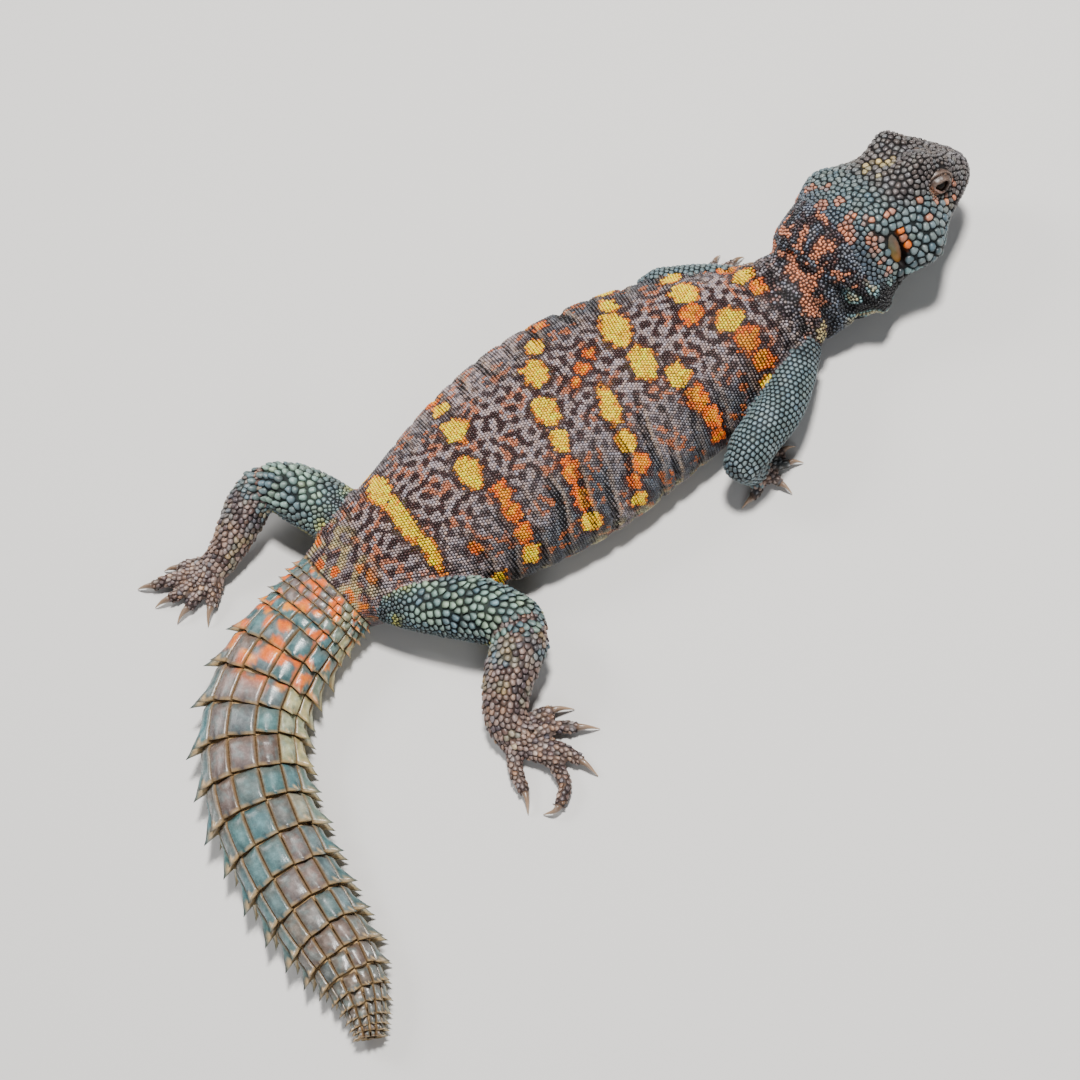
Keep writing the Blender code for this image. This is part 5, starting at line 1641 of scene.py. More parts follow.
@dataclass(frozen=True)
class PlateShape:
    """The form of plates that fill the room between their neighbours."""

    columns: int = 8
    height: float = 0.22
    gap: float = 0.10
    sink: float = 0.22
    neighbours: int = 12
    # how wide, how high and how far towards the tip each ring stands, from the edge to the middle
    rings: tuple[tuple[float, float, float], ...] = ((0.74, 0.72, 0.35),)


def fitted_plates(name: str, roots: Roots, shape: PlateShape) -> bpy.types.Object:
    """Plates whose outlines are cut back by each other's, as the scales of a lizard's head are.

    Args:
        name: the piece's name.
        roots: where the plates grow.
        shape: their form.

    Returns:
        One object with the attributes tint and lift and the map OFBake.
    """
    count, columns = len(roots.place), shape.columns
    tree = tree_of(roots.place)
    near = [[found[1] for found in tree.find_n(Vector(place), shape.neighbours + 1)] for place in roots.place]
    near = np.array(near)[:, 1:]
    side = np.cross(roots.out, roots.way)
    away = roots.place[near] - roots.place[:, None]
    x = np.einsum("nmk,nk->nm", away, roots.way)
    y = np.einsum("nmk,nk->nm", away, side)
    far = x**2 + y**2
    weight = (0.5 * roots.size) ** 2
    angles = (np.arange(columns) + 0.5) * 2 * math.pi / columns
    toward = x[..., None] * np.cos(angles) + y[..., None] * np.sin(angles)
    power = (far + weight[:, None] - weight[near]).clip(0.05 * far)[..., None]
    limit = np.where(toward > 0.05 * np.sqrt(far)[..., None], power / (2 * np.maximum(toward, 1e-6)), 9.0)
    reach = np.minimum(limit.min(axis=1), 0.72 * roots.size[:, None])
    reach = np.maximum(reach - shape.gap * roots.size[:, None] / 2, 0.12 * roots.size[:, None])
    width = reach.mean(axis=1)
    tall = shape.height * width * 2 * (roots.height if roots.height is not None else 1.0)
    lean = roots.lean if roots.lean is not None else np.zeros(count)
    flat = np.stack([reach * np.cos(angles), reach * np.sin(angles)], axis=-1)
    layers = [(1.0, -shape.sink * width, 0.0)]
    layers += [(wide, level * tall, lead) for wide, level, lead in shape.rings]
    layers.append((0.0, tall, 0.6))
    corners = []
    for spread, level, shift in layers:
        ring = flat * spread
        ring = ring[:, :1] * 0 if spread == 0.0 else ring
        local_x = ring[..., 0] + (lean * width * shift)[:, None]
        corners.append((local_x, ring[..., 1], np.broadcast_to(np.asarray(level)[:, None], local_x.shape)))
    local = np.concatenate([np.stack(c, axis=-1) for c in corners], axis=1)
    places = (roots.place[:, None] + local[..., :1] * roots.way[:, None] + local[..., 1:2] * side[:, None]
              + local[..., 2:] * roots.out[:, None])
    rings = len(layers) - 1
    each = rings * columns + 1
    around = np.arange(columns)
    following = (around + 1) % columns
    walls = []
    for base in range(0, (rings - 1) * columns, columns):
        walls.append(np.stack([around, following, following + columns], 1) + base)
        walls.append(np.stack([around, following + columns, around + columns], 1) + base)
    top = (rings - 1) * columns
    cap = np.stack([around + top, following + top, np.full(columns, rings * columns)], 1)
    floor = np.stack([np.zeros(columns - 2, int), around[2:], around[1:-1]], 1)
    pattern = np.concatenate([*walls, cap, floor])
    faces = (pattern[None] + (np.arange(count) * each)[:, None, None]).reshape(-1, 3)
    mesh = mesh_of(name, places.reshape(-1, 3), faces)
    give_attribute(mesh, "tint", "FLOAT_COLOR", np.repeat(roots.tint, each, axis=0))
    # lift of each ring, from which the finish paints shade at the plate's edge and a highlight at its middle
    lift = [np.zeros(columns), *(np.full(columns, level**0.7) for _, level, _ in shape.rings), [1.0]]
    give_attribute(mesh, "lift", "FLOAT", np.tile(np.concatenate(lift), count))
    across = (2.2 * np.maximum(reach.max(axis=1), 1e-6))[:, None, None]
    map_of(mesh, (local[..., :2] / across * PATCH + roots.chart[:, None]).reshape(-1, 2))
    return make_object(name, mesh)


def map_of(mesh: bpy.types.Mesh, spots: Array) -> None:
    """Gives a mesh the map OFBake, from a place on the chart for each point."""
    corners = np.empty(len(mesh.loops), np.int32)
    mesh.loops.foreach_get("vertex_index", corners)
    layer = mesh.uv_layers.new(name="OFBake")
    layer.data.foreach_set("uv", spots[corners].astype(np.float32).ravel())


@dataclass
class GranuleShapes:
    """A few uneven six-sided beads, one millimetre wide, for granules to pick from."""

    variants: int = 6
    seed: int = 5
    rings: tuple[tuple[float, float], ...] = ((0.56, -0.30), (0.44, 0.16))

    def build(self) -> bpy.types.Collection:
        """Makes the beads in a collection of their own."""
        chance = np.random.default_rng(self.seed)
        group = bpy.data.collections.new("beads")
        for number in range(self.variants):
            turn = (np.arange(6)) * math.pi / 3 + chance.uniform(-0.10, 0.10, 6)
            reach = chance.uniform(0.92, 1.06, 6)
            x, y = reach * np.cos(turn), reach * np.sin(turn)
            rings = [np.stack([radius * x, radius * y, np.full(6, level)], 1) for radius, level in self.rings]
            top = np.array([[chance.uniform(0.0, 0.12), chance.uniform(-0.05, 0.05), 0.34]])
            places = np.concatenate([*rings, top])
            faces = [(5, 4, 3, 2, 1, 0)]
            for k in range(6):
                n = (k + 1) % 6
                faces.append((k, n, n + 6, k + 6))
                faces.append((k + 6, n + 6, 12))
            group.objects.link(self.bead("bead_%d" % number, places, faces))
        return group

    def bead(self, name: str, places: Array, faces: list[tuple[int, ...]]) -> bpy.types.Object:
        """One prototype with its lift and its place on its own patch."""
        mesh = bpy.data.meshes.new(name)
        mesh.from_pydata(places.tolist(), [], faces)
        mesh.shade_smooth()
        low, high = places[:, 2].min(), places[:, 2].max()
        # lift: height on the bead, from which the finish paints shade low down and a highlight on top
        give_attribute(mesh, "lift", "FLOAT", smoothstep(low, high, places[:, 2]))
        flat = places * np.array((1.0, 1.0, 0.0))
        flat[:, :2] -= (flat[:, :2].min(axis=0) + flat[:, :2].max(axis=0)) / 2
        give_attribute(mesh, "leaf", "FLOAT_VECTOR", flat / (2 * np.abs(flat).max()))
        return bpy.data.objects.new(name, mesh)


class Sower:
    """Grows one shape from a collection on each root, by Geometry Nodes."""

    working = ("way", "out", "size", "kind", "root", "leaf")

    def __init__(self, shapes: bpy.types.Collection) -> None:
        """Keeps the shapes and builds the tree.

        Args:
            shapes: the collection to pick from.
        """
        self.shapes = shapes
        self.tree = self.build_tree()

    def build_tree(self) -> bpy.types.NodeTree:
        """The tree: instances on the roots, turned and sized by them, made real, mapped and dressed."""
        tree = bpy.data.node_groups.new("grow_scales", "GeometryNodeTree")
        for name, kind in (("Roots", "Geometry"), ("Shapes", "Collection"), ("Patch", "Float"),
                           ("Growth", "Float"), ("Finish", "Material")):
            tree.interface.new_socket(name, in_out="INPUT", socket_type="NodeSocket" + kind)
        tree.interface.new_socket("Scales", in_out="OUTPUT", socket_type="NodeSocketGeometry")
        board = Board(tree)
        given = board.node("NodeGroupInput").outputs
        named = {}
        for name in self.working:
            kind = "INT" if name == "kind" else "FLOAT_VECTOR"
            named[name] = board.node("GeometryNodeInputNamedAttribute", {"Name": name},
                                     data_type=kind).outputs[0]
        shapes = board.node("GeometryNodeCollectionInfo", {
            "Collection": given["Shapes"], "Separate Children": True, "Reset Children": True})
        turn = board.node("FunctionNodeAxesToRotation", {0: named["out"], 1: named["way"]},
                          primary_axis="Z", secondary_axis="X")
        size = board.node("ShaderNodeVectorMath", {0: named["size"], "Scale": given["Growth"]},
                          operation="SCALE")
        grown = board.node("GeometryNodeInstanceOnPoints", {
            "Points": given["Roots"], "Instance": shapes.outputs[0], "Pick Instance": True,
            "Instance Index": named["kind"], "Rotation": turn.outputs[0], "Scale": size.outputs[0]})
        real = board.node("GeometryNodeRealizeInstances", {0: grown.outputs[0]})
        patch = board.node("ShaderNodeVectorMath", {0: named["leaf"], "Scale": given["Patch"]},
                           operation="SCALE")
        spot = board.node("ShaderNodeVectorMath", {0: patch.outputs[0], 1: named["root"]}, operation="ADD")
        mapped = board.node("GeometryNodeStoreNamedAttribute",
                            {"Geometry": real.outputs[0], "Name": "OFBake"},
                            data_type="FLOAT2", domain="CORNER")
        tree.links.new(spot.outputs[0], mapped.inputs["Value"])
        dressed = board.node("GeometryNodeSetMaterial",
                             {"Geometry": mapped.outputs[0], "Material": given["Finish"]})
        board.node("NodeGroupOutput", {0: dressed.outputs[0]})
        return tree

    def grow(self, name: str, roots: Roots, sizes: Array, kinds: Array, finish: bpy.types.Material,
             keep: tuple[str, ...] = ()) -> bpy.types.Object:
        """Makes one piece.

        Args:
            name: the piece's name.
            roots: where the scales grow.
            sizes: length, width and height of each, in millimetres.
            kinds: which shape each one is.
            finish: the material.
            keep: working attributes that stay on the piece.

        Returns:
            A plain mesh object.
        """
        mesh = bpy.data.meshes.new(name + "_roots")
        mesh.vertices.add(len(roots.place))
        move_points(mesh, roots.place)
        chart = np.concatenate([roots.chart, np.zeros((len(roots.chart), 1))], axis=1)
        for label, values in (("way", roots.way), ("out", roots.out), ("size", sizes), ("root", chart)):
            give_attribute(mesh, label, "FLOAT_VECTOR", values)
        give_attribute(mesh, "kind", "INT", kinds)
        give_attribute(mesh, "tint", "FLOAT_COLOR", roots.tint)
        obj = make_object(name, mesh)
        grower = obj.modifiers.new("grow", "NODES")
        grower.node_group = self.tree
        inputs = {"Shapes": self.shapes, "Patch": PATCH, "Growth": MM, "Finish": finish}
        for item in self.tree.interface.items_tree:
            if item.in_out == "INPUT" and item.name in inputs:
                grower[item.identifier] = inputs[item.name]
        obj.data = applied(obj)
        obj.data.name = name
        for label in self.working:
            if label in obj.data.attributes and label not in keep:
                obj.data.attributes.remove(obj.data.attributes[label])
        return obj


@dataclass(frozen=True)
class ScuteShape:
    """One kind of tail plate, on a block one millimetre long, wide and high."""

    reach: float
    peak: float
    base: float = 0.5
    rows: int = 9
    columns: int = 10

    def build(self, name: str, chance: np.random.Generator) -> bpy.types.Object:
        """Makes one plate: low in front, square behind, with a spine that rises to its rear middle."""
        along = np.linspace(0.0, 1.0, self.rows + 1)
        even = np.linspace(-1, 1, self.columns + 1)
        across = 0.5 * np.sign(even) * np.abs(even) ** 0.8
        u, v = np.meshgrid(along, across, indexing="ij")
        tooth = np.clip(1.0 - np.abs(v) / 0.42, 0.0, 1.0) ** 1.2
        rise = 0.58 + 0.08 * smoothstep(0.0, 0.85, u)
        pillow = 0.34 * (1.0 - (2.0 * np.abs(v)) ** 2.4) * smoothstep(0.0, 0.22, u)
        pillow = pillow * (1.0 - 0.75 * smoothstep(0.70, 1.0, u))
        rim = 0.06 * bell(np.abs(v), 0.42, 0.04) + 0.05 * bell(u, 0.93, 0.05)
        spine = self.peak * tooth * np.clip((u - self.base) / (1.0 - self.base), 0.0, 1.0) ** 1.8
        rough = 0.016 * chance.normal(0, 1, u.shape)
        edge = 1.0 - 0.16 * smoothstep(0.45, 0.5, np.abs(v)) - 0.30 * smoothstep(0.08, 0.0, u)
        z = (rise + pillow + rim + rough) * edge + spine
        x = u * 0.94 + self.reach * tooth * smoothstep(0.6, 1.0, u)
        narrowed = 1.0 - 0.12 * self.peak * smoothstep(0.7, 1.0, u) * tooth
        y = v * (1.0 + 0.17 * np.clip(z, 0.0, 1.0)) * narrowed
        top = np.stack([x, y, z], axis=-1)
        flat = np.ones(u.shape[1])
        rear = np.stack([0.90 * flat, across * 0.95, -0.05 * flat], axis=-1)
        front = np.stack([-0.03 * flat, across * 0.92, -0.30 * flat], axis=-1)
        grid = np.concatenate([front[None], top, rear[None]])
        left, right = grid[:, 0].copy(), grid[:, -1].copy()
        for wall in (left, right):
            wall[:, 2] = -0.30
            wall[:, 0] = np.minimum(wall[:, 0], 0.92)
        grid = np.concatenate([left[:, None], grid, right[:, None]], axis=1)
        mesh = self.closed(name, grid)
        places = grid.reshape(-1, 3)
        # lift from which the finish paints shade on each scute's low sides and front; the rear lip is kept
        # out of the painted shade
        inside = smoothstep(0.575, 0.50, np.abs(places[:, 1])) * smoothstep(0.0, 0.35, places[:, 2])
        inside = np.maximum(inside, 0.8 * (places[:, 0] > 0.895))
        give_attribute(mesh, "lift", "FLOAT", np.append(inside, 0.0))
        leaf = (places - np.array((0.5, 0.0, 0.0))) * np.array((0.8, 0.8, 0.0))
        give_attribute(mesh, "leaf", "FLOAT_VECTOR", np.concatenate([leaf, [[0.0, 0.0, 0.0]]]))
        return bpy.data.objects.new(name, mesh)

    @staticmethod
    def closed(name: str, grid: Array) -> bpy.types.Mesh:
        """A mesh of a grid of points, closed by a fan from underneath."""
        rows, columns = grid.shape[:2]
        faces = []
        for i in range(rows - 1):
            for j in range(columns - 1):
                a = i * columns + j
                faces.append((a, a + columns, a + columns + 1, a + 1))
        edge = list(range(columns)) + [(i + 1) * columns - 1 for i in range(1, rows)]
        edge += [(rows - 1) * columns + j for j in range(columns - 2, -1, -1)]
        edge += [i * columns for i in range(rows - 2, 0, -1)]
        places = np.concatenate([grid.reshape(-1, 3), [[0.45, 0.0, -0.35]]])
        for k, corner in enumerate(edge):
            faces.append((corner, edge[(k + 1) % len(edge)], rows * columns))
        mesh = bpy.data.meshes.new(name)
        mesh.from_pydata(places.tolist(), [], faces)
        faced_out(mesh)
        return mesh


@dataclass
class TailArmour:
    """The whorls of scutes round the tail, each plate with its spine."""

    tail: TailForm
    markings: Markings
    seed: int = 31
    height: float = 1.9
    overlap: float = 1.02
    # rows in each of the first whorls, and scutes in a row
    base_rows: tuple[tuple[int, int], ...] = ((3, 25), (2, 19))
    # the middle of the orange patch
    glow_place: tuple[float, float] = (14.0, 46.0)

    def shapes(self) -> bpy.types.Collection:
        """Plates of three kinds, two of each: upper, side and under ones."""
        chance = np.random.default_rng(self.seed)
        group = bpy.data.collections.new("scutes")
        kinds = (ScuteShape(0.02, 0.10, 0.6), ScuteShape(0.06, 0.45), ScuteShape(0.16, 1.15),
                 ScuteShape(0.20, 1.55, 0.4), ScuteShape(0.04, 0.0))
        for number, kind in enumerate(kinds):
            for twin in range(2):
                group.objects.link(kind.build("scute_%d_%d" % (number, twin), chance))
        return group

    def build(self, finish: bpy.types.Material) -> bpy.types.Object:
        """Sets every plate and grows them in one piece."""
        chance = np.random.default_rng(self.seed + 1)
        plan = []
        for whorl, length in enumerate(WHORLS):
            parts, count = 1, self.tail.scutes_round
            if whorl < len(self.base_rows):
                parts, count = self.base_rows[whorl]
            for part in range(parts):
                key = self.tail.starts[whorl] + length * part / parts
                for number in range(count):
                    angle = math.pi / 2 + 2 * math.pi * (number + 0.5 * (part % 2)) / count
                    plan.append((key, angle, length / parts, count))
        keys, angles, lengths, counts = np.array(plan).T
        keys = keys + chance.uniform(-0.12, 0.12, len(keys))
        armour = self.tail.armoured(angles)
        low = -self.tail.inset * armour - 0.25
        ends, middles = keys + lengths, keys + lengths / 2
        front = self.tail.surface(keys, angles, low * self.tail.slimness(keys))
        rear = self.tail.surface(ends, angles, (low + 0.20 * armour) * self.tail.slimness(ends))
        half = math.pi / counts
        one, other = (self.tail.surface(middles, angles + side * half, low) for side in (-1, 1))
        width = np.linalg.norm(one - other, axis=1)
        way = unit(rear - front)
        out = square_to(self.tail.outward(middles, angles), way)
        long = np.linalg.norm(rear - front, axis=1) * self.overlap * chance.uniform(0.97, 1.04, len(keys))
        size = np.clip(lengths / 7.0, 0.35, 1.0)
        tall = self.height * (0.35 + 0.65 * armour) * (0.45 + 0.55 * size)
        tall = tall * chance.uniform(0.90, 1.10, len(keys))
        side = np.abs(np.cos(angles))
        kinds = np.where(side > 0.90, 6, np.where(side > 0.70, 4, np.where(side > 0.45, 2, 0)))
        kinds = np.where(lengths < 0.6 * WHORLS[0], np.minimum(kinds, 4), kinds)
        kinds = np.where(keys > self.tail.starts[10], np.maximum(kinds, 2), kinds)
        kinds = np.where(keys > self.tail.starts[13], np.maximum(kinds, 4), kinds)
        kinds = np.where(armour < 0.4, 8, kinds) + chance.integers(0, 2, len(keys))
        span = self.tail.starts[-1] - self.tail.start
        tint = self.markings.on_tail(middles - self.tail.start, angles, span)
        chart = np.stack([0.02 + 0.96 * (keys - self.tail.start) / span, turn_share(angles)], axis=1)
        roots = Roots(front, out, way, width, keys, angles, chart, tint)
        sizes = np.stack([long, width, tall], axis=1)
        piece = Sower(self.shapes()).grow("tail_scutes", roots, sizes, kinds, finish, ("leaf",))
        self.mottle(piece.data, chance)
        return piece

    def mottle(self, mesh: bpy.types.Mesh, chance: np.random.Generator) -> None:
        """Gives each scute a browner border, blotches, a painted highlight in its middle, a dark dot at its
        spine and a pale rear lip.
        """
        tint = attribute_rows(mesh, "tint", "color", 4)[:, :3]
        leaf = attribute_rows(mesh, "leaf", "vector", 3)
        u, v = leaf[:, 0] / 0.8 + 0.5, np.abs(leaf[:, 1] / 0.8)
        places = point_places(mesh)
        blotches = field_noise(places, 2.4, 4.0)
        tint = blend(tint, Hue.SCUTE_BROWN,
                     0.45 * smoothstep(0.50, 0.05, u) * smoothstep(-0.4, 0.3, blotches))
        tint = blend(tint, Hue.SCUTE_BLUE, 0.35 * smoothstep(0.05, 0.3, field_noise(places, 1.2, 44.0)))
        tint = tint * (1.0 + 0.30 * field_noise(places, 0.8, 9.0))[:, None]
        # painted highlight: the middle of each scute lightened and the rest darkened
        tint = blend(tint * 0.75, tint * 1.4 + 0.025, 0.75 * bell(u, 0.52, 0.24) * bell(v, 0.0, 0.26))
        middle = np.linalg.norm(places[:, :2] - np.array(self.glow_place), axis=1)
        upper = smoothstep(0.30, 0.75, point_normals(mesh)[:, 2]) * smoothstep(28.0, 20.0, middle)
        glow = blend(Hue.EMBER, Hue.FLAME, smoothstep(0.0, 0.5, blotches))
        tint = blend(tint, glow, 0.92 * upper * smoothstep(-0.02, 0.16, field_noise(places, 3.0, 71.0)))
        tint = blend(tint, Hue.SCUTE_DOT, 0.55 * bell(u, 0.84, 0.09) * bell(v, 0.0, 0.10))
        lip = smoothstep(0.885, 0.90, u) * smoothstep(0.10, 0.2, v + 0.3 * (u < 0.92))
        tint = blend(tint, Hue.SCUTE_LIP, 0.8 * np.maximum(lip, 0.8 * smoothstep(0.46, 0.53, v)))
        give_attribute(mesh, "tint_fine", "FLOAT_COLOR", tint)
        for label in ("tint", "leaf"):
            mesh.attributes.remove(mesh.attributes[label])
        mesh.attributes["tint_fine"].name = "tint"


# the lids' rings from the opening outward: how far out, how high, how swollen, how far on the skin
LID_PROFILE = (
    (-0.12, -1.30, 0.0, 0.0), (-0.16, -0.62, 0.0, 0.0), (-0.03, -0.20, 0.6, 0.0), (0.22, 0.02, 1.0, 0.0),
    (0.50, 0.02, 1.0, 0.0), (0.76, -0.20, 0.5, 0.0), (0.95, -0.40, 0.0, 0.1), (1.15, -0.28, 0.5, 0.15),
    (1.45, -0.22, 0.7, 0.3), (1.78, -0.30, 0.5, 0.65), (2.10, -0.40, 0.2, 0.90), (2.35, -0.50, 0.0, 1.0),
    (2.20, -1.70, 0.0, 0.0), (0.70, -2.20, 0.0, 0.0),
)


@dataclass
class Eyes:
    """The eyes, their rolled lids and the eardrums."""

    head: HeadFrame
    place: tuple[float, float, float] = (16.4, 7.2, 3.3)
    radius: float = 2.8
    tilt: float = math.radians(34.0)
    opening: tuple[float, float] = (1.62, 1.42)
    lid_place: tuple[float, float, float] = (16.4, 8.0, 3.3)
    lid_size: tuple[float, float, float] = (4.1, 2.5, 3.2)
    ear_size: tuple[float, float] = (1.35, 4.4)
    drum_level: float = 12.9
    lid_steps: int = 80

    def ball(self, name: str, side: int) -> bpy.types.Object:
        """One eye: a dark ball with a faint brown iris round a round pupil."""
        forward, out, up = self.head.axes()
        out = out * side
        centre = self.head.place(self.place[0], side * self.place[1], self.place[2])
        rings = []
        polar = np.linspace(0.02, math.pi - 0.02, 26)
        turn = full_turn(36)[:, None]
        for angle in polar:
            round_it = forward * np.cos(turn) * side + up * np.sin(turn)
            rings.append(centre + self.radius * (out * math.cos(angle) + math.sin(angle) * round_it))
        mesh = mesh_of(name, *loft(np.array(rings)))
        faced_out(mesh)
        angle = np.arccos(np.clip((unit(point_places(mesh) - centre)) @ out, -1, 1))
        iris = smoothstep(0.22, 0.28, angle) * smoothstep(0.62, 0.5, angle)
        give_attribute(mesh, "tint", "FLOAT_COLOR", blend(Hue.PUPIL, Hue.IRIS, iris))
        return make_object(name, mesh)

    def lid_point(self, side: int, turn: Array, grow: Array, rise: Array) -> Array:
        """Places round the opening of one eye, on the swelling of its lids."""
        corner = 1.0 + 0.13 * np.cos(3.0 * (turn + 0.98))
        ahead = (self.opening[0] * corner + grow) * np.cos(turn)
        above = (self.opening[1] * corner + grow) * np.sin(turn)
        forward = ahead * math.cos(self.tilt) + above * math.sin(self.tilt)
        up = above * math.cos(self.tilt) - ahead * math.sin(self.tilt)
        inside = 1.0 - (forward / self.lid_size[0]) ** 2 - (up / self.lid_size[2]) ** 2
        out = self.lid_place[1] + self.lid_size[1] * np.sqrt(np.maximum(inside, 0.02)) + rise
        axes = self.head.axes()
        return (self.head.origin + axes[0] * (self.lid_place[0] + forward)[:, None]
                + axes[1] * (side * out)[:, None] + axes[2] * (self.lid_place[2] + up)[:, None])

    def lids(self, ground: Ground) -> bpy.types.Object:
        """The rolled lids round each eye, in two folds that sink away under the scales, with painted shade in
        the opening and in the crease between the folds and painted highlights on the upper crests.

        Args:
            ground: the skin that the outer fold settles on.

        Returns:
            Both pairs of lids in one piece.
        """
        count = self.lid_steps
        turn = full_turn(count)
        upper = smoothstep(-0.4, 0.6, np.sin(turn))
        rear = smoothstep(0.5, -0.7, np.cos(turn)) * (1.0 - upper)
        front = smoothstep(0.6, 1.0, np.cos(turn))
        wrinkle = 0.035 * np.sin(11.0 * turn + 1.0) * np.sin(4.0 * turn)
        rings = []
        for side in (1, -1):
            columns = []
            for grow, rise, swell, settle in LID_PROFILE:
                rolled = swell * (0.04 + 0.52 * upper + 0.26 * rear - 0.12 * front + wrinkle)
                lap = 0.30 * upper * (0.0 < swell) * (grow < 0.6)
                broad = np.where(grow > 0.3, 0.66 + 0.34 * upper + 0.16 * rear, 1.0)
                points = self.lid_point(side, turn, grow * broad - lap, rise + rolled)
                if settle:
                    found, out, _ = ground.under(points)
                    points = points * (1.0 - settle) + (found - 0.15 * settle * out) * settle
                columns.append(points)
            rings.append(np.stack(columns, axis=1))
        columns = len(LID_PROFILE)
        places = np.concatenate([ring.reshape(-1, 3) for ring in rings])
        faces = []
        for number in range(2):
            for i in range(count):
                for j in range(columns):
                    here, there = (number * count + i) * columns, (number * count + (i + 1) % count) * columns
                    faces.append((here + j, here + (j + 1) % columns, there + (j + 1) % columns, there + j))
        mesh = mesh_of("eyelid_rims", places, np.array(faces))
        faced_out(mesh)
        place = self.head.coordinates(point_places(mesh))
        above = (place[:, 2] - self.lid_place[2]) + (place[:, 0] - self.lid_place[0]) * math.tan(self.tilt)
        low = smoothstep(0.0, -1.0, above)
        ring = np.tile(np.arange(columns), 2 * count)
        tint = Hue.LID
        # painted shade inside the opening and in the crease between the folds, painted highlights on the
        # crests of the upper folds
        for color, weight in (
            (Hue.LID_PINK, 0.9 * low * smoothstep(1.0, -1.0, place[:, 0] - self.place[0])),
            (Hue.LID_EDGE, 0.95 * (ring <= 1) + 0.8 * (ring == 6)),
            (Hue.LID_ORANGE, 0.8 * low * np.isin(ring, (5, 7))),
            (Hue.LID_PALE, 0.7 * np.isin(ring, (3, 4, 8)) * (1.0 - low)),
            (Hue.LID_OUTER, 0.85 * (ring >= 10)),
        ):
            tint = blend(tint, color, weight)
        tint = tint * (0.75 + 0.35 * field_noise(place, 0.7, 2.0))[:, None]
        give_attribute(mesh, "tint", "FLOAT_COLOR", np.clip(tint, 0.004, 0.9))
        return make_object("eyelid_rims", mesh)

    @staticmethod
    def lid_roots(lids: bpy.types.Object, atlas: Atlas, chance: np.random.Generator) -> Roots:
        """Where tiny beads stand on the lids, in rows that follow their folds.

        Args:
            lids: the piece with the lids.
            atlas: gives each root its place on the chart.
            chance: draws the beads' shades.

        Returns:
            One root for each bead, in the colours of the lids.
        """
        columns = len(LID_PROFILE)
        places, out = point_places(lids.data), point_normals(lids.data)
        number = np.arange(len(places))
        turn, ring = number // columns, number % columns
        chosen = np.isin(ring, (3, 4, 5, 7, 8, 9, 10)) & ((turn + ring // 2) % 2 == 0)
        place, out = places[chosen], out[chosen]
        way = unit(places[(number[chosen] + columns) % len(places)] - place)
        size = np.where(ring[chosen] < 6, 0.24, 0.34)
        roots = Settler.rooted(place - 0.03 * out, out, way, size, atlas.look(place))
        tint = attribute_rows(lids.data, "tint", "color", 4)[chosen, :3]
        roots.tint = tint * chance.uniform(0.75, 1.7, (len(place), 1))
        return roots

    def drums(self) -> bpy.types.Object:
        """Both eardrums: smooth olive membranes, orange-brown towards their lower rear edge, with painted
        shade darkening their rims.
        """
        rings, count = 8, 28
        radii = np.linspace(0.0, 1.0, rings + 1)[1:]
        turn = full_turn(count)
        places, faces = [], []
        for side in (1, -1):
            base = len(places)
            for layer in (0.0, -0.35):
                points = [self.head.place(EAR[0], side * (self.drum_level + layer), EAR[1])]
                for radius in radii:
                    for angle in turn:
                        points.append(self.head.place(
                            EAR[0] + self.ear_size[0] * 1.12 * radius * math.cos(angle),
                            side * (self.drum_level + layer + 0.35 * radius**2),
                            EAR[1] + self.ear_size[1] * 1.06 * radius * math.sin(angle)))
                places += points
            each = 1 + rings * count
            edge = base + 1 + (rings - 1) * count
            for k in range(count):
                n = (k + 1) % count
                for start in (base, base + each):
                    faces.append((start, start + 1 + k, start + 1 + n))
                    for a in range(start + 1, start + 1 + (rings - 1) * count, count):
                        faces += [(a + k, a + count + k, a + count + n), (a + k, a + count + n, a + n)]
                faces += [(edge + k, edge + each + k, edge + each + n), (edge + k, edge + each + n, edge + n)]
        mesh = mesh_of("eardrums_fine", np.array(places), np.array(faces))
        faced_out(mesh)
        place = self.head.coordinates(point_places(mesh))
        ahead = (place[:, 0] - EAR[0]) / self.ear_size[0]
        above = (place[:, 2] - EAR[1]) / self.ear_size[1]
        low = smoothstep(0.0, -0.9, above) * 0.6 + smoothstep(0.1, 0.8, ahead) * 0.8
        tint = blend(Hue.DRUM, Hue.DRUM_DARK, 0.8 * smoothstep(0.1, 0.7, above + 0.6 * ahead))
        tint = blend(tint, Hue.DRUM_ORANGE, np.clip(low, 0, 1) * smoothstep(0.6, 0.1, above))
        # painted shade: darker towards the rim of each drum, down in the ear's recess
        tint = tint * smoothstep(1.08, 0.75, np.hypot(ahead, above))[:, None]
        give_attribute(mesh, "tint", "FLOAT_COLOR", tint)
        return make_object("eardrums_fine", mesh)


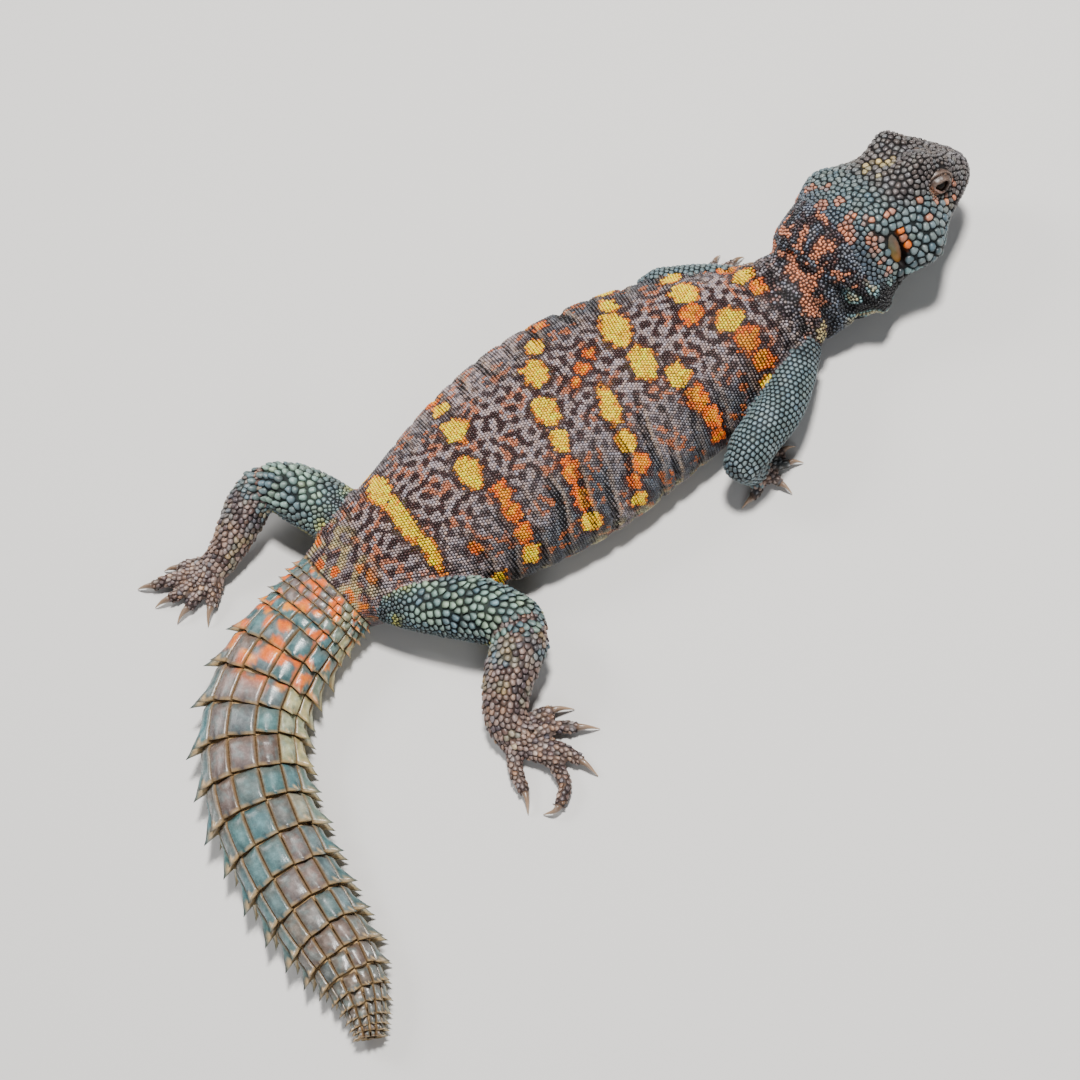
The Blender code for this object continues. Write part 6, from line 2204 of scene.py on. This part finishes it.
@dataclass
class Claws:
    """The claws of all four feet, curved down to the floor."""

    columns: int = 12
    rows: int = 10

    def build(self) -> bpy.types.Object:
        """Makes all claws as one piece."""
        places, faces, tints, start = [], [], [], 0
        for toes, reach, tip in ((FOOT_RIGHT_TOES, 4.6, 1.30), (FOOT_LEFT_TOES, 4.4, 1.30),
                                 (HAND_RIGHT_TOES, 3.2, 1.1), (HAND_LEFT_TOES, 3.2, 1.1)):
            for points, heading in toes:
                rings = self.claw(np.array(points, float), math.radians(heading), reach, tip)
                spots, triangles = loft(rings)
                places.append(spots)
                faces.append(triangles + start)
                share = np.concatenate([np.repeat(np.linspace(0, 1, self.rows), self.columns), [0.0, 1.0]])
                tints.append(blend(Hue.CLAW_ROOT, Hue.CLAW_TIP, share))
                start += len(spots)
        mesh = mesh_of("claws", np.concatenate(places), np.concatenate(faces))
        faced_out(mesh)
        give_attribute(mesh, "tint", "FLOAT_COLOR", np.concatenate(tints))
        return make_object("claws", mesh)

    def claw(self, points: Array, heading: float, reach: float, tip: float) -> Array:
        """The rings of one claw."""
        way = np.array((math.cos(heading), math.sin(heading), 0.0))
        last = points[-1]
        before = unit(last - points[-2])
        rings = []
        for t in np.linspace(0.0, 1.0, self.rows):
            turned = min(1.6 * t, 1.0)
            bow = unit(before * (1 - turned) + way * turned)
            sideways = 0.8 * t * t if turned < 1.0 else t - 0.3125
            place = last - before * 0.5 + (before * (t - sideways) + way * sideways) * reach
            place[2] = last[2] + 0.5 * math.sin(math.pi * t) - (last[2] - 0.35) * t * t
            side = unit(np.cross(bow, UP))
            up = np.cross(side, bow)
            radius = tip * 0.80 * (1 - 0.90 * t ** 0.8)
            turn = full_turn(self.columns)[:, None]
            ring = place + side * (radius * 0.85 * np.cos(turn)) + up * (radius * 1.15 * np.sin(turn))
            ring[:, 2] = np.maximum(ring[:, 2], 0.03)
            rings.append(ring)
        return np.array(rings)


@dataclass
class Studio:
    """The floor, the soft lights and the camera of the photo's view."""

    target: tuple[float, float, float] = (0.0, 0.0, 8.0)
    distance: float = 430.0
    elevation: float = 62.0
    back: float = 4.0
    roll: float = 30.0
    lens: float = 2000.0 * 36.0 / 1080.0

    def build(self) -> None:
        """Makes the floor, the lights and the camera."""
        self.floor()
        self.lights()
        self.camera()

    def floor(self) -> None:
        """A wide plain floor at the level of the belly."""
        size = 6.0
        mesh = bpy.data.meshes.new("studio_floor")
        corners = [(x * size, y * size, 0) for x, y in ((-1, -1), (1, -1), (1, 1), (-1, 1))]
        mesh.from_pydata(corners, [], [(0, 1, 2, 3)])
        floor = make_object("studio_floor", mesh)
        mesh.materials.append(FloorFinish("floor").make())

    def lights(self) -> None:
        """A large soft light over the animal, one from its right side and a pale surrounding."""
        world = bpy.data.worlds.new("surrounding")
        bpy.context.scene.world = world
        world.use_nodes = True
        world.node_tree.nodes["Background"].inputs[0].default_value = (0.93, 0.95, 1.0, 1.0)
        world.node_tree.nodes["Background"].inputs[1].default_value = 0.17
        for name, place, size, power, tone in (
            ("key", (0.10, -0.20, 0.85), 0.13, 16.5, (1.0, 0.98, 0.95)),
            ("fill", (-0.75, 0.25, 0.50), 0.4, 2.8, (0.93, 0.96, 1.0)),
            ("back", (0.60, 0.35, 0.55), 0.3, 3.6, (1.0, 0.99, 0.97)),
        ):
            light = bpy.data.lights.new(name, "AREA")
            light.energy = power
            light.size = size
            light.color = tone
            lamp = bpy.data.objects.new(name, light)
            bpy.context.scene.collection.objects.link(lamp)
            lamp.location = place
            lamp.rotation_euler = (-Vector(place)).to_track_quat("-Z", "Y").to_euler()

    def camera(self) -> None:
        """The camera at the photo's angle, above the animal's right side and turned with it."""
        elevation, back, roll = (math.radians(v) for v in (self.elevation, self.back, self.roll))
        ahead = np.array((0.0, -1.0, 0.0))
        right = np.array((-1.0, 0.0, 0.0))
        to_camera = unit(math.cos(elevation) * math.cos(back) * right
                         - math.cos(elevation) * math.sin(back) * ahead + math.sin(elevation) * UP)
        first = unit(ahead - to_camera * (ahead @ to_camera))
        second = right - to_camera * (right @ to_camera)
        second = unit(second - first * (second @ first))
        picture_right = math.cos(roll) * first + math.sin(roll) * second
        picture_up = math.sin(roll) * first - math.cos(roll) * second
        camera = bpy.data.cameras.new("camera")
        camera.lens = self.lens
        camera.sensor_width = 36.0
        camera.clip_start = 0.01
        obj = bpy.data.objects.new("camera", camera)
        bpy.context.scene.collection.objects.link(obj)
        turn = np.stack([picture_right, picture_up, to_camera], axis=1)
        matrix = [[*turn[i], 0.0] for i in range(3)] + [[0.0, 0.0, 0.0, 1.0]]
        place = to_row(np.array(self.target) + to_camera * self.distance)
        for i in range(3):
            matrix[i][3] = place[i]
        obj.matrix_world = Matrix(matrix)
        bpy.context.scene.camera = obj


ROUGH = (Region.SHANK, Region.FOOT, Region.HAND)


def even_gap(gap: float) -> Rule:
    """The rule that spaces scales evenly.

    Args:
        gap: the distance between two scales, in millimetres.

    Returns:
        A function of places, normals and atlas rows.
    """
    return lambda places, out, rows: np.full(len(places), gap)


@dataclass
class Coat:
    """All scales that grow on the skin, region by region."""

    settler: Settler
    markings: Markings
    trunk: TrunkForm
    limbs: list[tuple[Region, LimbForm]]
    granule: float = 0.68
    belly_scale: float = 1.05
    neck_end: float = 21.0
    roots: list[Roots] = field(default_factory=list)

    def trunk_pieces(self) -> list[bpy.types.Object]:
        """The granules of the back and flanks in three pieces, and the larger scales of the belly."""
        back, belly = self.settler.trunk_rows(self.trunk, self.neck_end, self.granule, self.belly_scale)
        neck = self.settler.scattered(
            Region.TRUNK, even_gap(self.granule * 1.04),
            lambda places, out, rows: self.trunk.curve.heading(rows[:, 1] + self.trunk.start),
            end=self.neck_end - 0.2)
        sower = Sower(GranuleShapes().build())
        finish = ScaleFinish("granules", roughness=0.34, sheen=0.4).make()
        pieces = []
        for roots in (back, belly, neck):
            roots.tint = self.markings.on_trunk(roots)
            self.roots.append(roots)
        pieces.append(self.sown(sower, "granules_neck", neck, finish, 0.95))
        cuts = (-9.0, 50.0, 86.0, 999.0)
        for number in range(3):
            part = back.pick((back.along >= cuts[number]) & (back.along < cuts[number + 1]))
            pieces.append(self.sown(sower, "granules_%d" % (number + 1), part, finish, 0.95))
        pieces.append(self.sown(sower, "belly_scales", belly, finish, 0.45))
        return pieces

    def sown(self, sower: Sower, name: str, roots: Roots, finish: bpy.types.Material,
             tall: float) -> bpy.types.Object:
        """Beads on some roots, each a little larger or smaller than the next."""
        chance = self.settler.chance
        count = len(roots.place)
        width = roots.size * chance.uniform(0.92, 1.05, count)
        light = roots.tint.mean(axis=1)
        height = roots.size * tall * (0.85 + 0.45 * np.clip(light / 0.4, 0, 1))
        height = height * chance.uniform(0.85, 1.15, count)
        sizes = np.stack([width * 1.04, width, height], axis=1)
        return sower.grow(name, roots, sizes, chance.integers(0, 6, count), finish)

    @staticmethod
    def head_gap(places: Array, out: Array, rows: Array) -> Array:
        """How far apart the plates of the head stand, in millimetres."""
        head = HeadFrame()
        forward, right, up = head.coordinates(places).T
        right = np.abs(right)
        gap = np.full(len(places), 1.62)
        crown = smoothstep(5.5, 7.5, up + 0.35 * forward - 0.12 * right)
        brow = smoothstep(3.5, 5.0, right) * smoothstep(4.5, 6.5, up) * smoothstep(11.0, 13.0, forward)
        for other, weight in (
            (1.35, crown),
            (1.10, smoothstep(15.0, 19.0, forward)),
            (1.05, brow),
            (1.70, smoothstep(-4.0, -6.0, up) * smoothstep(11.0, 7.0, forward)),
            (1.00, smoothstep(-1.0, -4.5, forward)),
            (0.74, smoothstep(-1.5, -4.0, forward) * smoothstep(-3.0, -6.0, up)),
            (0.85, smoothstep(-0.45, -0.75, out @ head.axes()[2])),
            (0.60, smoothstep(1.0, 0.75, np.hypot((forward - 16.4) / 4.4, (up - 3.3) / 3.6)) * (right > 5.0)),
        ):
            gap = gap + (other - gap) * weight
        return gap

    def head_pieces(self) -> list[bpy.types.Object]:
        """The plates of the whole head in one piece, with the rows at the mouth."""
        head = HeadFrame()
        backward = -head.axes()[0]
        roots = self.settler.scattered(
            Region.HEAD, self.head_gap,
            lambda places, out, rows: np.broadcast_to(backward, places.shape), rounds=3)
        spots = head.coordinates(roots.place)
        forward, right, up = spots.T
        eye = Eyes(head)
        ahead, above = forward - eye.place[0], up - eye.place[2]
        across = (ahead * math.cos(eye.tilt) - above * math.sin(eye.tilt)) / (eye.opening[0] + 0.2)
        tall = (above * math.cos(eye.tilt) + ahead * math.sin(eye.tilt)) / (eye.opening[1] + 0.2)
        open_eye = (np.hypot(across, tall) < 1.0) & (np.abs(right) > 5.0)
        drum = (ear_reach(spots, (2.0, 5.0)) < 1.0) & (np.abs(right) > HEAD_CORE)
        nostril = nostril_reach(spots) < 1.0
        lips = self.lips(head)
        tree = tree_of(lips.place)
        crowded = np.array([tree.find(Vector(place))[2] for place in roots.place]) < 0.42 * (roots.size + 1.0)
        roots = Roots.joined([lips, roots.pick(~(open_eye | drum | nostril | crowded))])
        roots.tint = self.markings.on_head(roots)
        roots.height = self.settler.chance.uniform(0.8, 1.25, len(roots.place))
        self.roots.append(roots)
        shape = PlateShape(columns=10, height=0.30, gap=0.11, rings=((0.94, 0.36, 0.0), (0.66, 0.84, 0.1)))
        piece = fitted_plates("head_plates", roots, shape)
        finish = ScaleFinish("head_plates", roughness=0.34, grain=2200.0, sheen=0.4)
        piece.data.materials.append(finish.make())
        return [piece]

    def lips(self, head: HeadFrame) -> Roots:
        """A row of scales above the line of the mouth and one below it, round the whole snout."""
        groups = []
        turns = np.radians(np.linspace(-104.0, 104.0, 700))
        forward, right, _ = head.axes()
        for offset in (0.62, -0.62):
            places = []
            for turn in turns:
                way = forward * math.cos(turn) + right * math.sin(turn)
                reach = 14.0 + 12.0 * math.cos(turn)
                middle = head.place(14.0, 0.0, self.mouth_level(14.0 + max(reach - 14.0, 0.0)) + offset)
                found = self.settler.ground.tree.ray_cast(Vector(middle + way * 30.0), Vector(-way))[0]
                if found is not None:
                    places.append(np.array(found))
            places = np.array(places)
            steps = travelled(places)
            marks = np.arange(0.3, steps[-1], 1.02)
            spots = np.stack([np.interp(marks, steps, places[:, k]) for k in range(3)], axis=1)
            ground, out, _ = self.settler.ground.under(spots)
            way = np.broadcast_to(-forward, ground.shape)
            size = np.full(len(ground), 1.12)
            groups.append(self.settler.rooted(ground, out, way, size, self.settler.atlas.look(ground)))
        return Roots.joined(groups)

    @staticmethod
    def mouth_level(forward: float) -> float:
        """How high the line of the mouth lies, forward of the ears."""
        return -5.8 + (forward - 12.4) * 2.6 / 17.6

    def limb_way(self, region: Region, rows: Array) -> Array:
        """The direction from the body to the toes at some rows of the atlas."""
        forms = [limb for other, limb in self.limbs if other is region]
        way = np.zeros((len(rows), 3))
        for slot, limb in enumerate(forms):
            mine = rows[:, 5].astype(int) == slot
            if mine.any():
                way[mine] = limb.curve.heading(rows[mine, 1])
        return way

    @staticmethod
    def thigh_gap(places: Array, out: Array, rows: Array) -> Array:
        """How far apart the scales of the thigh stand: wider on top, towards the knee."""
        return 0.76 + 0.84 * smoothstep(0.0, 0.75, out[:, 2]) * smoothstep(7.0, 15.0, rows[:, 1])

    def limb_pieces(self) -> list[bpy.types.Object]:
        """Rhombic scales on the arms, rounded plates on the legs, rough ones on the feet."""
        pieces = []
        plans = (
            (Region.ARM, "arm_scales", even_gap(1.18), 0.30, 0.45, 0.05, 0.14),
            (Region.LEG, "thigh_scales", self.thigh_gap, 0.28, 0.50, 0.10, 0.16),
            (Region.SHANK, "shank_scales", even_gap(1.18), 0.36, 1.0, 0.30, 0.10),
            (Region.FOOT, "foot_scales", even_gap(1.02), 0.34, 0.9, 0.30, 0.08),
            (Region.HAND, "hand_scales", even_gap(0.95), 0.36, 0.8, 0.20, 0.10),
        )
        for region, name, gap, height, lean, spread, seam in plans:
            if region is Region.ARM:
                forms = [limb for other, limb in self.limbs if other is region]
                rows = [self.settler.limb_rows(limb, 1.26, region, slot, len(forms))
                        for slot, limb in enumerate(forms)]
                roots = self.thinned(Roots.joined(rows), 0.55)
            else:
                roots = self.settler.scattered(region, gap,
                                               lambda places, out, rows: self.limb_way(region, rows))
            roots.tint = self.markings.on_limb(roots, region)
            chance = self.settler.chance
            roots.height = 1.0 + spread * chance.normal(0, 1, len(roots.place)).clip(-1.5, 3)
            knee = smoothstep(13.0, 21.0, roots.along) * (region is Region.LEG)
            roots.height = roots.height * (1.0 + 0.7 * knee)
            roots.lean = (lean + 0.7 * knee) * chance.uniform(0.5, 1.3, len(roots.place))
            self.roots.append(roots)
            shape = PlateShape(columns=9, height=height, gap=seam,
                               rings=((0.92, 0.40, 0.1), (0.56, 0.82, 0.6)))
            piece = fitted_plates(name, roots, shape)
            rough = region in ROUGH
            color = (0.045, 0.026, 0.020) if rough else (0.012, 0.008, 0.008)
            finish = ScaleFinish(name, 0.42, 1900.0, gap=color, gap_weight=0.6 if rough else 0.8, sheen=0.45)
            piece.data.materials.append(finish.make())
            pieces.append(piece)
        return pieces

    def thinned(self, roots: Roots, share: float) -> Roots:
        """Roots without those that stand nearer to an earlier one than a share of their size."""
        return roots.pick(np.array(self.settler.darts(roots.place, roots.size * share)))

    def tinge(self, skin: bpy.types.Object, share: float = 0.10) -> None:
        """Gives the skin the markings of the scales that stand on it, darker: partly the skin's own darker
        tone and partly painted shade between the scales, with painted shade near black in the line of the
        mouth, the nostrils and the ears' cups.
        """
        places = np.concatenate([roots.place for roots in self.roots])
        tints = np.concatenate([roots.tint for roots in self.roots])
        spots = point_places(skin.data)
        rows = self.settler.atlas.look(spots)
        nearest = nearest_in(tree_of(places), spots)
        head = HeadFrame().coordinates(spots)
        mouth = np.abs(head[:, 2] - self.mouth_level(head[:, 0])) + 9.0 * (head[:, 0] < 12.5)
        cup = ear_reach(head, (1.7, 4.9)) + 9.0 * (np.abs(head[:, 1]) < HEAD_CORE)
        # painted shade: near black in the line of the mouth, in the nostrils and in the cups of the ears
        dark = np.maximum(smoothstep(0.5, 0.2, mouth), smoothstep(0.9, 0.5, nostril_reach(head)))
        dark = np.maximum(dark, smoothstep(1.1, 0.9, cup))
        rough = self.settler.atlas.among(rows, *ROUGH)
        tints = tints[nearest] * np.where(rough, 0.45, share)[:, None]
        tan = np.array(Hue.TAIL_SKIN.value) * (1.0 + 0.3 * field_noise(spots, 2.5, 6.0))[:, None]
        tints = np.where(self.settler.atlas.among(rows, Region.TAIL)[:, None], tan, tints)
        give_attribute(skin.data, "tint", "FLOAT_COLOR", blend(tints, Hue.PIT, dark))
        # one lift for all the skin, so the finish darkens it evenly, partly as painted shade
        give_attribute(skin.data, "lift", "FLOAT", np.full(len(nearest), 0.75))


PALMS = {
    "foot_right": ((-33.0, 25.4, 3.0, 4.2, 2.6), (-38.0, 24.6, 2.9, 4.2, 2.6)),
    "foot_left": ((37.6, 65.2, 3.0, 4.0, 2.6), (38.0, 69.4, 2.9, 4.0, 2.6)),
    "hand_right": ((-9.8, -47.4, 2.4, 3.2, 2.2), (-9.9, -50.0, 2.3, 3.2, 2.2)),
    "hand_left": ((37.9, -62.4, 2.4, 3.2, 2.2), (38.0, -65.6, 2.3, 3.2, 2.2)),
}


def all_limbs() -> list[tuple[Region, LimbForm]]:
    """Every length of limb and every toe with the region it belongs to."""
    regions = {"thigh": Region.LEG, "shank": Region.SHANK, "upper_arm": Region.ARM, "forearm": Region.ARM}
    limbs = [(regions[name.rsplit("_", 1)[0]], LimbForm(name, stations)) for name, stations in LIMBS.items()]
    for name, stations in PALMS.items():
        limbs.append((Region.FOOT if name.startswith("foot") else Region.HAND, LimbForm(name, stations)))
    groups = ((Region.FOOT, FOOT_RIGHT_TOES, (1.95, 1.50)), (Region.FOOT, FOOT_LEFT_TOES, (1.95, 1.50)),
              (Region.HAND, HAND_RIGHT_TOES, (1.65, 1.25)), (Region.HAND, HAND_LEFT_TOES, (1.65, 1.25)))
    for region, toes, radii in groups:
        for number, (points, _) in enumerate(toes):
            widths = np.linspace(radii[0], radii[1], len(points))
            stations = tuple((*point, width, width) for point, width in zip(points, widths))
            limbs.append((region, LimbForm("toe_%d" % number, stations)))
    return limbs


class Uromastyx:
    """The whole animal: its skin, its coat of scales, its tail armour, eyes and claws."""

    def __init__(self) -> None:
        """Sets up the forms that every piece is made from."""
        self.trunk = TrunkForm()
        self.tail = TailForm()
        self.limbs = all_limbs()
        self.markings = Markings(self.trunk, np.random.default_rng(7))

    def build(self) -> None:
        """Makes every piece in turn and tells the frame what it stands for."""
        skin = Skin(self.trunk, self.tail, self.limbs).build()
        LOG.info("skin: %d points", len(skin.data.vertices))
        ground = Ground(skin)
        settler = Settler(ground, Atlas(self.trunk, self.tail, self.limbs), np.random.default_rng(11))
        coat = Coat(settler, self.markings, self.trunk, self.limbs)
        for piece in coat.trunk_pieces() + coat.head_pieces() + coat.limb_pieces():
            self.dress(piece)
        armour_finish = ScaleFinish("scutes", roughness=0.27, grain=1100.0, shade=0.5,
                                    gap=(0.08, 0.036, 0.017), gap_weight=0.65, sheen=0.36).make()
        armour = TailArmour(self.tail, self.markings)
        self.dress(armour.build(armour_finish))
        coat.tinge(skin)
        skin.data.materials.append(ScaleFinish("skin", roughness=0.6, gap_weight=0.5, sheen=0.12).make())
        self.dress(skin)
        self.features(settler)
        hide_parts(*FLESH, "tail_1", "tail_2", "tail_3", "tail_4")

    def features(self, settler: Settler) -> None:
        """The eyes, lids, eardrums and claws.

        Args:
            settler: knows the skin and the chart of the whole body.
        """
        eyes = Eyes(HeadFrame())
        wet = GlossFinish("eye", 0.08, sheen=0.05).make()
        for side, name in ((1, "eye_right"), (-1, "eye_left")):
            ball = eyes.ball(name + "_fine", side)
            ball.data.materials.append(wet)
            self.dress(ball)
            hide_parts(name)
        lids = eyes.lids(settler.ground)
        lids.data.materials.append(GlossFinish("lids", 0.42, grain=1400.0, shade=0.5).make())
        self.dress(lids)
        roots = eyes.lid_roots(lids, settler.atlas, settler.chance)
        sizes = np.stack([roots.size * 1.1, roots.size, roots.size * 0.6], axis=1)
        kinds = np.arange(len(roots.size)) % 6
        finish = ScaleFinish("lid_granules", roughness=0.38, sheen=0.5).make()
        beads = Sower(GranuleShapes().build()).grow("lid_granules", roots, sizes, kinds, finish)
        self.dress(beads)
        drums = eyes.drums()
        drums.data.materials.append(GlossFinish("eardrum", 0.33, coat=0.3, shade=0.3).make())
        self.dress(drums)
        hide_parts("eardrum_right", "eardrum_left")
        claws = Claws().build()
        claws.data.materials.append(GlossFinish("claw", 0.35, coat=0.2, grain=500.0).make())
        self.dress(claws)

    def dress(self, piece: bpy.types.Object) -> None:
        """Keeps one finished piece above the floor, ties it to the frame and reports it."""
        places = point_places(piece.data)
        places[:, 2] = np.maximum(places[:, 2], 0.0)
        move_points(piece.data, places)
        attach(piece, BODY)
        piece.data.calc_loop_triangles()
        LOG.info("%s: %d triangles", piece.name, len(piece.data.loop_triangles))


def main() -> None:
    """Builds the animal, which logs the size of each piece, and the studio."""
    logging.basicConfig(level=logging.INFO, format="%(message)s")
    Uromastyx().build()
    Studio().build()


if __name__ == "__main__":
    main()
